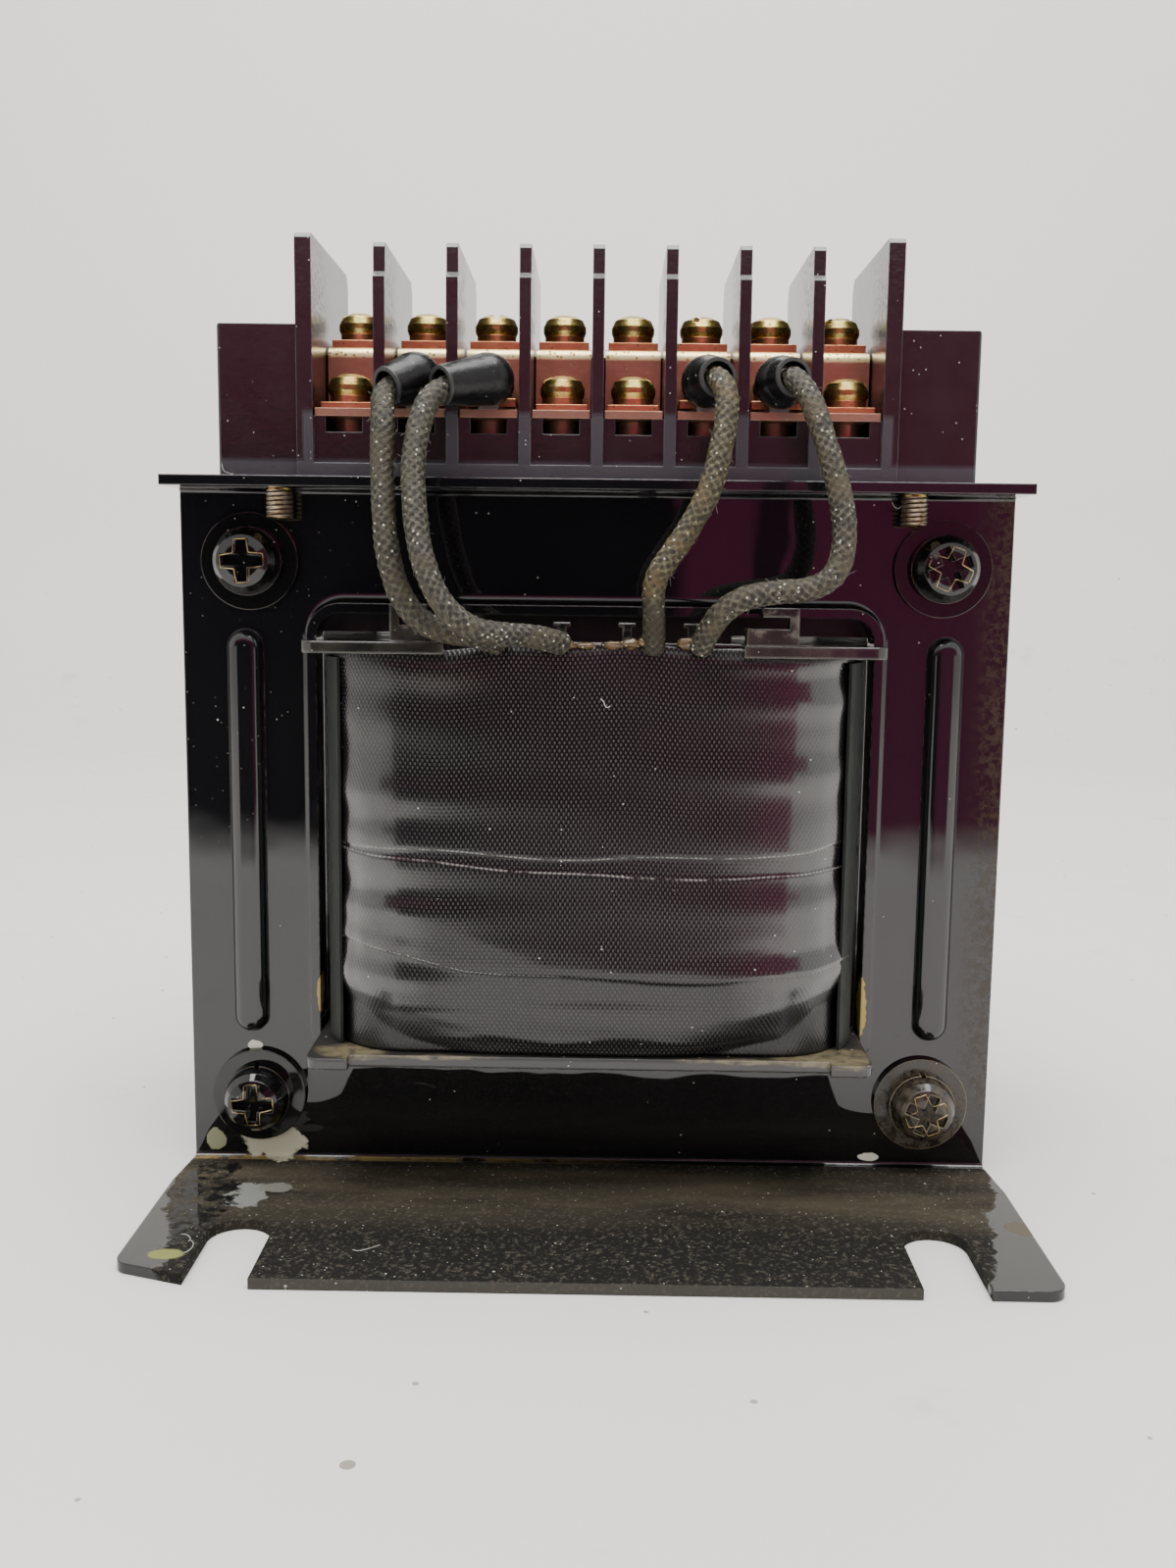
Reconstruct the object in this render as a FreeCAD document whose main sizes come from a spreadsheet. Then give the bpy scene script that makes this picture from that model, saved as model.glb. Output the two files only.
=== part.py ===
"""Open-frame transformer: one coil on an interleaved E-I core, held between two pressed steel
brackets, with an eight-pole screw terminal block on the front top flange.

Millimetres. +X is to the right, +Y away from the viewer and +Z up. The origin lies on the
surface that the feet stand on, under the middle of the core.
"""
import FreeCAD, Part
import math
import os
import Sketcher
from FreeCAD import Placement, Rotation, Vector

os.makedirs("parts", exist_ok=True)
doc = FreeCAD.newDocument("transformer")
sheet = doc.addObject("Spreadsheet::Sheet", "dims")

# Driving dimensions
SIZES = [
    # Core: scrapless E-I laminations
    ("leg_width", 44.4, "centre leg"),
    ("side_leg", 22.2, "outer legs and both yokes"),
    ("window_width", 22.2, "one window"),
    ("window_height", 66.6, "one window"),
    ("stack", 56.0, "thickness of the lamination stack"),
    ("core_base", 1.65, "underside of the core above the floor"),
    # Brackets
    ("gauge", 1.6, "sheet steel"),
    ("flange_rise", 1.75, "top of the flange above the core"),
    ("plate_margin", 0.1, "plate beyond the core, each side"),
    ("foot_margin", 0.9, "foot beyond the plate, each side"),
    ("foot_reach", 44.6, "foot, ahead of the plate"),
    ("foot_flare", 11.0, "where the foot reaches its full width"),
    ("foot_corner", 2.6, "rounding of the foot's outer corners"),
    ("flange_reach", 11.5, "top flange, ahead of the plate"),
    ("bend_inner", 0.6, "inside radius of both bends"),
    ("slot_inset", 15.5, "middle of a slot from the foot's outer edge"),
    ("slot_width", 9.6, "open mounting slot"),
    ("slot_depth", 19.2, "open mounting slot"),
    ("worn_cut", 4.6, "how far the worn tab's front edge slants back"),
    ("opening_lap", 0.1, "plate over the core's window, each side"),
    ("opening_over", 3.1, "opening beyond the core's window, top and bottom"),
    ("opening_corner", 3.8, "window corner"),
    ("rim_reach", 4.5, "drawn rim, ahead of the plate"),
    ("rim_root", 1.5, "radius where the rim leaves the plate"),
    ("bead_inset", 10.1, "middle of a bead from the plate's edge"),
    ("bead_width", 5.7, "pressed bead"),
    ("bead_over", 0.2, "bead beyond the core's window, top and bottom"),
    ("bead_height", 2.2, "pressed bead"),
    # Clamp bolts
    ("bolt_thread", 6.0, "shank"),
    ("bolt_play", 0.6, "bolt hole over the shank"),
    ("bolt_head", 10.5, "pan head"),
    ("bolt_head_height", 4.0, "pan head"),
    ("bolt_recess", 6.9, "across the cross recess"),
    ("bolt_recess_slot", 1.9, "width of a recess arm"),
    ("bolt_recess_depth", 2.0, "cross recess"),
    ("washer_width", 15.6, "flat washer"),
    ("washer_gauge", 1.2, "flat washer"),
    ("spring_over", 0.5, "spring washer over the bolt's head"),
    ("spring_gauge", 1.6, "spring washer"),
    ("spring_split", 0.8, "gap in the spring washer"),
    ("thread_gap", 0.2, "plain bore of a nut over the bolt"),
    ("bolt_point", 0.6, "chamfer of the bolt's end"),
    ("nut_width", 10.0, "across flats"),
    ("nut_height", 5.0, "nut"),
    ("bolt_end", 1.6, "bolt standing out of the nut"),
    # Bobbin and coil
    ("leg_gap", 0.3, "between the leg and the bobbin"),
    ("tube_wall", 1.4, "bobbin tube"),
    ("bobbin_rise", 0.1, "bobbin above the window's lower edge"),
    ("bobbin_play", 0.8, "bobbin in the height of the window"),
    ("flange_gauge", 1.8, "bobbin flange"),
    ("bobbin_side_gap", 0.7, "flange beside the outer leg"),
    ("ear_reach", 22.6, "ears ahead of the core"),
    ("top_ear_width", 21.4, "top ear"),
    ("top_edge_reach", 15.8, "set-back top edge ahead of the core"),
    ("low_ear_width", 6.5, "lower ear"),
    ("low_edge_reach", 20.6, "set-back lower edge ahead of the core"),
    ("ear_corner", 2.0, "rounding of the ears"),
    ("winding_gap", 0.2, "around each layer of the coil"),
    ("coil_clearance", 2.7, "coil beside the outer leg"),
    ("barrier_build", 0.8, "insulation between the windings"),
    ("tape_build", 1.0, "outer cloth tape"),
    ("coil_corner", 13.0, "corner radius of the coil"),
    ("board_gauge", 0.5, "insulating board beside the coil"),
    ("board_gap", 0.15, "between the board and the tape"),
    ("board_play", 0.8, "insulating board in the height of the coil"),
    ("hook_width", 7.7, "lead hook on a top ear"),
    ("hook_depth", 3.6, "lead hook, front to back"),
    ("hook_height", 5.6, "lead hook"),
    ("hook_wall", 1.4, "lead hook"),
    ("hook_base", 2.5, "block under the lead hook"),
    ("hook_side_gap", 0.3, "hook beside the set-back edge"),
    ("hook_front_gap", 0.6, "hook behind the ear's front edge"),
    ("post_pitch", 9.95, "between the small posts"),
    ("post_width", 1.4, "small post"),
    ("post_head", 2.6, "head of the small post"),
    ("post_head_gauge", 0.7, "head of the small post"),
    ("post_height", 3.0, "small post"),
    # Terminal block
    ("pitch", 11.13, "between the poles"),
    ("block_set_back", 3.1, "barrier fronts behind the flange's edge"),
    ("block_depth", 33.0, "front to back"),
    ("barrier_gauge", 1.8, "inner barriers"),
    ("end_barrier_gauge", 2.5, "outer barriers"),
    ("barrier_height", 35.15, "inner barriers above the flange"),
    ("end_barrier_height", 36.25, "outer barriers above the flange"),
    ("barrier_step", 4.4, "step below the top of an inner barrier"),
    ("barrier_step_depth", 0.8, "how far the top is set back"),
    ("barrier_chamfer", 0.7, "top front corner"),
    ("low_tab_rise", 10.5, "top of the lower tab above the flange"),
    ("high_tab_rise", 21.5, "top of the upper tab above the flange"),
    ("tab_gauge", 1.2, "terminal plate"),
    ("tab_side_gap", 0.43, "terminal plate between the barriers, both sides"),
    ("tab_front_gap", 0.6, "lower tab behind the barrier fronts"),
    ("riser_back", 12.2, "front of the riser behind the barrier fronts"),
    ("high_tab_length", 13.0, "upper tab, front to back"),
    ("low_screw_inset", 4.8, "lower screw ahead of the riser"),
    ("high_screw_inset", 5.6, "upper screw behind the riser"),
    ("boss_wall", 0.5, "drawn collar under the tab"),
    ("boss_height", 2.0, "drawn collar under the tab"),
    ("boss_gap", 0.3, "around the collar in the moulding"),
    ("pocket_clear", 0.6, "below the lower screw's end"),
    ("high_pocket_more", 2.6, "upper pocket deeper than the lower"),
    ("notch_width", 5.6, "notch in the front face"),
    ("notch_height", 2.4, "notch in the front face"),
    ("panel_recess", 0.8, "front face between the barriers"),
    ("plinth_height", 2.2, "strip along the foot of the block"),
    ("end_block_width", 12.35, "plain block at each end"),
    ("end_block_height", 23.0, "plain block at each end"),
    ("end_block_inset", 1.0, "set back from the barrier fronts"),
    ("end_block_round", 0.6, "rounding of the plain blocks"),
    ("fix_beyond", 5.48, "fixing screw beyond the outer pole"),
    ("fix_back", 5.2, "fixing screws behind the barrier fronts"),
    ("fix_play", 0.5, "hole over the fixing screw's shank"),
    ("fix_head_play", 0.3, "counterbore over the fixing screw's head"),
    ("fix_seat", 9.0, "counterbore floor above the flange"),
    ("fix_tip", 4.6, "fixing screw below the flange"),
    # Terminal screws
    ("screw_thread", 3.8, "shank"),
    ("screw_play", 0.4, "holes over the terminal screw's shank"),
    ("screw_length", 7.0, "below the washers"),
    ("screw_point", 0.4, "chamfer of the screw's end"),
    ("head_inset", 0.5, "screw head inside the square washer, each side"),
    ("screw_head_height", 3.5, "domed slotted head"),
    ("screw_slot", 1.0, "driving slot"),
    ("screw_slot_depth", 1.2, "driving slot"),
    ("washer_inset", 0.45, "square washer inside the tab, each side"),
    ("square_washer_gauge", 1.2, "square washer"),
    ("small_spring_inset", 0.3, "spring washer inside the head, each side"),
    ("small_spring_gauge", 1.2, "spring washer"),
    # Lugs, boots and leads
    ("lug_inset", 0.75, "ring of the lug inside the tab, each side"),
    ("lug_gauge", 0.8, "lug"),
    ("lug_tongue", 3.0, "tongue of the lug"),
    ("lug_barrel", 3.6, "crimped barrel"),
    ("lug_barrel_length", 2.2, "crimped barrel"),
    ("boot_inset", 0.4, "boot inside the tab's width, each side"),
    ("boot_taper", 2.3, "mouth narrower than the closed end"),
    ("boot_wall", 0.6, "rubber boot"),
    ("boot_ahead", 8.4, "boot's closed end ahead of the lower screw"),
    ("boot_rise", 4.2, "boot's closed end above the lower tab"),
    ("tongue_reach", 3.2, "lug's tongue ahead of its ring"),
    ("slit_gap", 0.7, "around the lug's tongue"),
    ("slit_reach", 9.0, "front of the boot's slit, ahead of the screw"),
    ("slit_depth", 7.0, "boot's slit, front to back"),
    ("slit_height", 3.6, "boot's slit"),
    ("lead_width", 3.6, "sleeved lead"),
    ("lead_gap", 0.6, "between the lug's barrel and the lead"),
]

PACKETS = 4
POLES = 8
PRIMARY_SHARE = 0.544
TOLERANCE = 0.02
PAST = 1.0
ROOT = 0.2
BOARD_WRAP = 38.0


class Size:
    """A length with its value and the expression over the sheet that gives it."""

    def __init__(self, value, text):
        self.value = float(value)
        self.text = text

    def joined(self, other, sign, value):
        other_text = other.text if isinstance(other, Size) else repr(float(other))
        return Size(value, "(" + self.text + " " + sign + " " + other_text + ")")

    def __add__(self, other):
        return self.joined(other, "+", self.value + number(other))

    def __sub__(self, other):
        return self.joined(other, "-", self.value - number(other))

    def __mul__(self, other):
        return self.joined(other, "*", self.value * number(other))

    def __truediv__(self, other):
        return self.joined(other, "/", self.value / number(other))

    def __neg__(self):
        return self * -1.0


def number(size):
    """The plain value of a Size or a number."""
    return size.value if isinstance(size, Size) else float(size)


def fill_sheet():
    """Writes the driving dimensions and gives each its alias; returns them by name."""
    sizes = {}
    for row, (name, value, note) in enumerate(SIZES, start=1):
        cell = "B" + str(row)
        sheet.set("A" + str(row), note)
        sheet.set(cell, str(value))
        sheet.setAlias(cell, name)
        sizes[name] = Size(value, "dims." + name)
    doc.recompute()
    return sizes


D = fill_sheet()


# Sizes that follow from others
PLATE_FACE = D["stack"] / 2 + D["gauge"]
CORE_HEIGHT = D["window_height"] + D["side_leg"] * 2
CORE_MIDDLE = D["core_base"] + CORE_HEIGHT / 2
CORE_HALF = D["leg_width"] / 2 + D["window_width"] + D["side_leg"]
WINDOWS_WIDTH = D["leg_width"] + D["window_width"] * 2
PLATE_WIDTH = (CORE_HALF + D["plate_margin"]) * 2
BRACKET_HEIGHT = D["core_base"] + CORE_HEIGHT + D["flange_rise"]
FLANGE_TOP = BRACKET_HEIGHT
FOOT_WIDTH = PLATE_WIDTH + D["foot_margin"] * 2
SLOT_PITCH = FOOT_WIDTH - D["slot_inset"] * 2
OPENING_WIDTH = WINDOWS_WIDTH - D["opening_lap"] * 2
OPENING_HEIGHT = D["window_height"] + D["opening_over"] * 2
BEAD_SPACING = PLATE_WIDTH - D["bead_inset"] * 2
BEAD_LENGTH = D["window_height"] + D["bead_over"] * 2
BOLT_X = CORE_HALF - D["side_leg"] / 2
BOLT_LOW = D["core_base"] + D["side_leg"] / 2
BOLT_HIGH = D["core_base"] + CORE_HEIGHT - D["side_leg"] / 2
BOLT_HOLE = D["bolt_thread"] + D["bolt_play"]
SPRING_WIDTH = D["bolt_head"] + D["spring_over"]
BOBBIN_HEIGHT = D["window_height"] - D["bobbin_play"]
BOBBIN_WIDTH = WINDOWS_WIDTH - D["bobbin_side_gap"] * 2
BOBBIN_BASE = D["core_base"] + D["side_leg"] + D["bobbin_rise"]
BOBBIN_TOP = BOBBIN_BASE + BOBBIN_HEIGHT
EAR_DEPTH = D["stack"] + D["ear_reach"] * 2
TOP_RECESS_WIDTH = BOBBIN_WIDTH - D["top_ear_width"] * 2
TOP_RECESS_DEPTH = D["stack"] + D["top_edge_reach"] * 2
LOW_RECESS_WIDTH = BOBBIN_WIDTH - D["low_ear_width"] * 2
LOW_RECESS_DEPTH = D["stack"] + D["low_edge_reach"] * 2
COIL_BASE = BOBBIN_BASE + D["flange_gauge"] + D["winding_gap"]
COIL_HEIGHT = BOBBIN_HEIGHT - D["flange_gauge"] * 2 - D["winding_gap"] * 2
COIL_START = D["leg_gap"] + D["tube_wall"] + D["winding_gap"]
COPPER_BUILD = (
    D["window_width"] - COIL_START - D["barrier_build"] - D["tape_build"] - D["coil_clearance"]
)
PRIMARY_BUILD = COPPER_BUILD * PRIMARY_SHARE
SECONDARY_BUILD = COPPER_BUILD * (1 - PRIMARY_SHARE)
BOARD_HEIGHT = COIL_HEIGHT - D["board_play"]
BLOCK_FRONT = -(PLATE_FACE + D["flange_reach"] - D["block_set_back"])
LOW_TAB = FLANGE_TOP + D["low_tab_rise"]
HIGH_TAB = FLANGE_TOP + D["high_tab_rise"]
LOW_SCREW_Y = BLOCK_FRONT + D["riser_back"] - D["low_screw_inset"]
HIGH_SCREW_Y = BLOCK_FRONT + D["riser_back"] + D["high_screw_inset"]
TAB_WIDTH = D["pitch"] - D["barrier_gauge"] - D["tab_side_gap"]
SQUARE_WASHER = TAB_WIDTH - D["washer_inset"] * 2
SCREW_HEAD = SQUARE_WASHER - D["head_inset"] * 2
SMALL_SPRING_WIDTH = SCREW_HEAD - D["small_spring_inset"] * 2
SCREW_BORE = D["screw_thread"] + D["screw_play"]
BOSS_WIDTH = SCREW_BORE + D["boss_wall"] * 2
BOSS_POCKET = BOSS_WIDTH + D["boss_gap"] * 2
LOW_POCKET_DEPTH = D["screw_length"] - D["tab_gauge"] + D["pocket_clear"]
HIGH_POCKET_DEPTH = LOW_POCKET_DEPTH + D["high_pocket_more"]
WASHER_STACK = D["square_washer_gauge"] + D["small_spring_gauge"]
FIX_SPACING = (D["pitch"] * (POLES / 2) + D["fix_beyond"]) * 2
FIX_Y = BLOCK_FRONT + D["fix_back"]
FIX_BORE = D["screw_thread"] + D["fix_play"]
FIX_COUNTERBORE = SCREW_HEAD + D["fix_head_play"]
LUG_WIDTH = TAB_WIDTH - D["lug_inset"] * 2
BOOT_WIDTH = TAB_WIDTH - D["boot_inset"] * 2
BOOT_MOUTH = BOOT_WIDTH - D["boot_taper"]


def pole_x(pole):
    """Middle of a pole, counted from 1 at the left."""
    return D["pitch"] * (pole - (POLES + 1) / 2)


def bind(thing, prop, size):
    """Sets a property and keeps it bound to the sheet."""
    if isinstance(size, Size):
        thing.setExpression(prop, size.text)
    else:
        setattr(thing, prop, size)


def put(thing, x=0.0, y=0.0, z=0.0, rotation=None):
    """Places an object, with each coordinate bound to the sheet where it comes from it."""
    thing.Placement = Placement(
        Vector(number(x), number(y), number(z)), rotation if rotation else Rotation()
    )
    for axis, size in (("x", x), ("y", y), ("z", z)):
        if isinstance(size, Size):
            thing.setExpression("Placement.Base." + axis, size.text)


def new_body(label):
    body = doc.addObject("PartDesign::Body", label)
    body.Label = label
    return body


def origin_part(body, role):
    for feature in body.Origin.OriginFeatures:
        if feature.Role == role:
            return feature
    raise ValueError(role)


def sketch_on(body, role, offset=0.0):
    """A new sketch on one of the body's origin planes, moved along the plane's normal."""
    sketch = body.newObject("Sketcher::SketchObject", body.Name + "_sketch")
    sketch.AttachmentSupport = [(origin_part(body, role), "")]
    sketch.MapMode = "FlatFace"
    if isinstance(offset, Size):
        sketch.setExpression("AttachmentOffset.Base.z", offset.text)
    else:
        sketch.AttachmentOffset = Placement(Vector(0, 0, offset), Rotation())
    return sketch


def hold_point(sketch, geometry, position, point):
    """Fixes a point of a sketch at two distances from the origin."""
    for kind, axis_line, size in (("DistanceX", -2, point[0]), ("DistanceY", -1, point[1])):
        if number(size) == 0.0:
            sketch.addConstraint(
                Sketcher.Constraint("PointOnObject", geometry, position, axis_line)
            )
            continue
        index = sketch.addConstraint(
            Sketcher.Constraint(kind, -1, 1, geometry, position, number(size))
        )
        if isinstance(size, Size):
            sketch.setExpression("Constraints[" + str(index) + "]", size.text)


def polygon(sketch, corners):
    """A closed outline through the corners."""
    first = sketch.GeometryCount
    count = len(corners)
    for i in range(count):
        start = corners[i]
        end = corners[(i + 1) % count]
        sketch.addGeometry(
            Part.LineSegment(
                Vector(number(start[0]), number(start[1]), 0),
                Vector(number(end[0]), number(end[1]), 0),
            ),
            False,
        )
    for i in range(count):
        following = first + (i + 1) % count
        sketch.addConstraint(Sketcher.Constraint("Coincident", first + i, 2, following, 1))
    for i in range(count):
        hold_point(sketch, first + i, 1, corners[i])


def rectangle(sketch, low, high):
    polygon(sketch, [low, (high[0], low[1]), high, (low[0], high[1])])


def circle(sketch, centre, diameter):
    index = sketch.addGeometry(
        Part.Circle(
            Vector(number(centre[0]), number(centre[1]), 0),
            Vector(0, 0, 1),
            number(diameter) / 2,
        ),
        False,
    )
    hold_point(sketch, index, 3, centre)
    held = sketch.addConstraint(Sketcher.Constraint("Diameter", index, number(diameter)))
    if isinstance(diameter, Size):
        sketch.setExpression("Constraints[" + str(held) + "]", diameter.text)


def pad(body, sketch, length):
    """Adds the sketch's outline, grown along the plane's normal."""
    feature = body.newObject("PartDesign::Pad", body.Name + "_pad")
    feature.Profile = sketch
    bind(feature, "Length", length)
    sketch.Visibility = False
    doc.recompute()
    return feature


def pocket(body, sketch, length, back=False):
    """Cuts the sketch's outline, along the plane's normal or back from it."""
    before = body.Shape.Volume
    feature = body.newObject("PartDesign::Pocket", body.Name + "_pocket")
    feature.Profile = sketch
    bind(feature, "Length", length)
    feature.Reversed = not back
    doc.recompute()
    if not body.Shape.Volume < before - 1e-6:
        raise RuntimeError(body.Label + ": a pocket cuts nothing")
    return feature


def revolution(body, sketch, role="Z_Axis"):
    feature = body.newObject("PartDesign::Revolution", body.Name + "_turned")
    feature.Profile = sketch
    feature.ReferenceAxis = (origin_part(body, role), [""])
    feature.Angle = 360.0
    doc.recompute()
    return feature


def lies_at(edge, along, x=None, y=None, z=None):
    """Whether an edge runs along an axis and its middle has the given coordinates.

    A coordinate given as a tuple is matched by its absolute value.
    """
    start = edge.Vertexes[0].Point
    end = edge.Vertexes[-1].Point
    run = end - start
    if run.Length < 1e-6 or edge.Curve.TypeId != "Part::GeomLine":
        return False
    if abs(run.dot(along)) / run.Length < 0.999:
        return False
    middle = (start + end) * 0.5
    for value, wanted in ((middle.x, x), (middle.y, y), (middle.z, z)):
        if wanted is None:
            continue
        if isinstance(wanted, tuple):
            value = abs(value)
            wanted = wanted[0]
        if abs(value - number(wanted)) > TOLERANCE:
            return False
    return True


def round_edges(body, radius, chosen, kind="Fillet"):
    """Rounds or chamfers the edges of the body's last shape that pass the test."""
    doc.recompute()
    base = body.Tip
    names = []
    for index, edge in enumerate(base.Shape.Edges, start=1):
        if chosen(edge):
            names.append("Edge" + str(index))
    if not names:
        raise RuntimeError(body.Label + ": no edge to round")
    feature = body.newObject("PartDesign::" + kind, body.Name + "_" + kind.lower())
    feature.Base = (base, names)
    bind(feature, "Radius" if kind == "Fillet" else "Size", radius)
    doc.recompute()
    return feature


ALONG_X = Vector(1, 0, 0)
ALONG_Y = Vector(0, 1, 0)
ALONG_Z = Vector(0, 0, 1)


def group(label, members):
    """One node of separate solids."""
    compound = doc.addObject("Part::Compound", label)
    compound.Label = label
    compound.Links = members
    return compound


# Brackets
def bracket_profile(body):
    """The bent sheet seen from the side: plate, top flange and the root of the foot."""
    inner = -(D["stack"] / 2)
    face = -PLATE_FACE
    root = face - D["gauge"] * 3
    tip = face - D["flange_reach"]
    top = BRACKET_HEIGHT
    gauge = D["gauge"]
    sketch = sketch_on(body, "YZ_Plane", -(PLATE_WIDTH / 2))
    polygon(
        sketch,
        [
            (inner, 0.0),
            (inner, top),
            (tip, top),
            (tip, top - gauge),
            (face, top - gauge),
            (face, gauge),
            (root, gauge),
            (root, 0.0),
        ],
    )
    pad(body, sketch, PLATE_WIDTH)
    round_edges(
        body,
        D["bend_inner"],
        lambda edge: lies_at(edge, ALONG_X, y=face, z=top - gauge)
        or lies_at(edge, ALONG_X, y=face, z=gauge),
    )
    round_edges(
        body,
        D["bend_inner"] + gauge,
        lambda edge: lies_at(edge, ALONG_X, y=inner, z=0.0)
        or lies_at(edge, ALONG_X, y=inner, z=top),
    )


def bracket_foot(body, worn):
    """The foot with its two open slots; the worn tab's front edge slants back."""
    half = FOOT_WIDTH / 2
    plate_half = PLATE_WIDTH / 2
    start = -(PLATE_FACE + D["bend_inner"])
    flared = -(PLATE_FACE + D["foot_flare"])
    front = -(PLATE_FACE + D["foot_reach"])
    slot_in = SLOT_PITCH / 2 - D["slot_width"] / 2
    slot_out = SLOT_PITCH / 2 + D["slot_width"] / 2
    slot_end = front + D["slot_depth"] - D["slot_width"] / 2
    worn_outer = front + D["worn_cut"] if worn else front
    worn_inner = front + D["worn_cut"] * 0.2 if worn else front
    sketch = sketch_on(body, "XY_Plane")
    polygon(
        sketch,
        [
            (-plate_half, start),
            (-half, flared),
            (-half, worn_outer),
            (-slot_out, worn_inner),
            (-slot_out, slot_end),
            (-slot_in, slot_end),
            (-slot_in, front),
            (slot_in, front),
            (slot_in, slot_end),
            (slot_out, slot_end),
            (slot_out, front),
            (half, front),
            (half, flared),
            (plate_half, start),
        ],
    )
    pad(body, sketch, D["gauge"])
    ends = sketch_on(body, "XY_Plane")
    circle(ends, (-(SLOT_PITCH / 2), slot_end), D["slot_width"])
    circle(ends, (SLOT_PITCH / 2, slot_end), D["slot_width"])
    pocket(body, ends, D["gauge"])
    round_edges(
        body,
        D["foot_corner"],
        lambda edge: lies_at(edge, ALONG_Z, x=half, y=front)
        or lies_at(edge, ALONG_Z, x=-half, y=worn_outer),
    )


def bracket_window(body):
    """The drawn window: a rim that stands forward round the opening."""
    half_width = OPENING_WIDTH / 2
    half_height = OPENING_HEIGHT / 2
    outer_width = half_width + D["gauge"]
    outer_height = half_height + D["gauge"]
    low = CORE_MIDDLE - outer_height
    high = CORE_MIDDLE + outer_height
    outline = sketch_on(body, "XZ_Plane", D["stack"] / 2)
    rectangle(outline, (-outer_width, low), (outer_width, high))
    pad(body, outline, D["gauge"] + D["rim_reach"])
    opening = sketch_on(body, "XZ_Plane", D["stack"] / 2 - D["gauge"])
    rectangle(
        opening,
        (-half_width, CORE_MIDDLE - half_height),
        (half_width, CORE_MIDDLE + half_height),
    )
    pocket(body, opening, D["gauge"] * 3 + D["rim_reach"])
    inner_low = CORE_MIDDLE - half_height
    inner_high = CORE_MIDDLE + half_height
    round_edges(
        body,
        D["opening_corner"],
        lambda edge: lies_at(edge, ALONG_Y, x=(half_width,), z=inner_low)
        or lies_at(edge, ALONG_Y, x=(half_width,), z=inner_high),
    )
    round_edges(
        body,
        D["opening_corner"] + D["gauge"],
        lambda edge: lies_at(edge, ALONG_Y, x=(outer_width,), z=low)
        or lies_at(edge, ALONG_Y, x=(outer_width,), z=high),
    )
    round_edges(
        body,
        D["rim_root"],
        lambda edge: lies_at(edge, ALONG_Z, x=(outer_width,), y=-PLATE_FACE)
        or lies_at(edge, ALONG_X, y=-PLATE_FACE, z=low)
        or lies_at(edge, ALONG_X, y=-PLATE_FACE, z=high),
    )


def bracket_beads(body):
    """Two upright stiffening beads with rounded ends and a rounded back."""
    half_length = BEAD_LENGTH / 2
    for side in (-1.0, 1.0):
        middle = BEAD_SPACING / 2 * side
        sketch = sketch_on(body, "XZ_Plane", PLATE_FACE)
        rectangle(
            sketch,
            (middle - D["bead_width"] / 2, CORE_MIDDLE - half_length),
            (middle + D["bead_width"] / 2, CORE_MIDDLE + half_length),
        )
        pad(body, sketch, D["bead_height"])
    inner = BEAD_SPACING / 2 - D["bead_width"] / 2
    outer = BEAD_SPACING / 2 + D["bead_width"] / 2
    tip = -(PLATE_FACE + D["bead_height"])
    middle_y = -(PLATE_FACE + D["bead_height"] / 2)
    round_edges(
        body,
        D["bead_width"] / 2 - 0.05,
        lambda edge: lies_at(edge, ALONG_Y, x=(inner,), y=middle_y)
        or lies_at(edge, ALONG_Y, x=(outer,), y=middle_y),
    )
    round_edges(
        body,
        D["bead_height"] * 0.9,
        lambda edge: lies_at(edge, ALONG_Z, x=(outer,), y=tip),
    )


def bracket_holes(body):
    """Holes for the clamp bolts, and tapped holes for the terminal block's screws."""
    bolts = sketch_on(body, "XZ_Plane", D["stack"] / 2 - D["gauge"])
    for x in (-BOLT_X, BOLT_X):
        for z in (BOLT_LOW, BOLT_HIGH):
            circle(bolts, (x, z), BOLT_HOLE)
    pocket(body, bolts, D["gauge"] * 3)
    taps = sketch_on(body, "XY_Plane", FLANGE_TOP - D["gauge"] * 2)
    for side in (-1.0, 1.0):
        circle(taps, (FIX_SPACING / 2 * side, FIX_Y), FIX_BORE)
    pocket(body, taps, D["gauge"] * 3)


def make_bracket(label, worn):
    body = new_body(label)
    bracket_profile(body)
    bracket_foot(body, worn)
    bracket_window(body)
    bracket_beads(body)
    bracket_holes(body)
    return body


# Core
def make_packet(label, shape, index, upright):
    """One packet of E or I laminations; every other packet is turned over."""
    body = new_body(label)
    thickness = D["stack"] / PACKETS
    sketch = sketch_on(body, "XZ_Plane", D["stack"] / 2 - thickness * (index + 1))
    leg = D["leg_width"] / 2
    window = leg + D["window_width"]
    e_height = D["side_leg"] + D["window_height"]

    def level(height):
        rise = D["core_base"] + height
        return rise if upright else D["core_base"] + CORE_HEIGHT - height

    if shape == "e":
        yoke = level(D["side_leg"])
        tip = level(e_height)
        foot = level(0.0)
        polygon(
            sketch,
            [
                (-CORE_HALF, foot),
                (CORE_HALF, foot),
                (CORE_HALF, tip),
                (window, tip),
                (window, yoke),
                (leg, yoke),
                (leg, tip),
                (-leg, tip),
                (-leg, yoke),
                (-window, yoke),
                (-window, tip),
                (-CORE_HALF, tip),
            ],
        )
        hole = level(D["side_leg"] / 2)
    else:
        rectangle(sketch, (-CORE_HALF, level(e_height)), (CORE_HALF, level(CORE_HEIGHT)))
        hole = level(CORE_HEIGHT - D["side_leg"] / 2)
    pad(body, sketch, thickness)
    holes = sketch_on(body, "XZ_Plane", D["stack"] / 2 - thickness * (index + 1))
    circle(holes, (-BOLT_X, hole), BOLT_HOLE)
    circle(holes, (BOLT_X, hole), BOLT_HOLE)
    pocket(body, holes, thickness)
    return body


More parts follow.
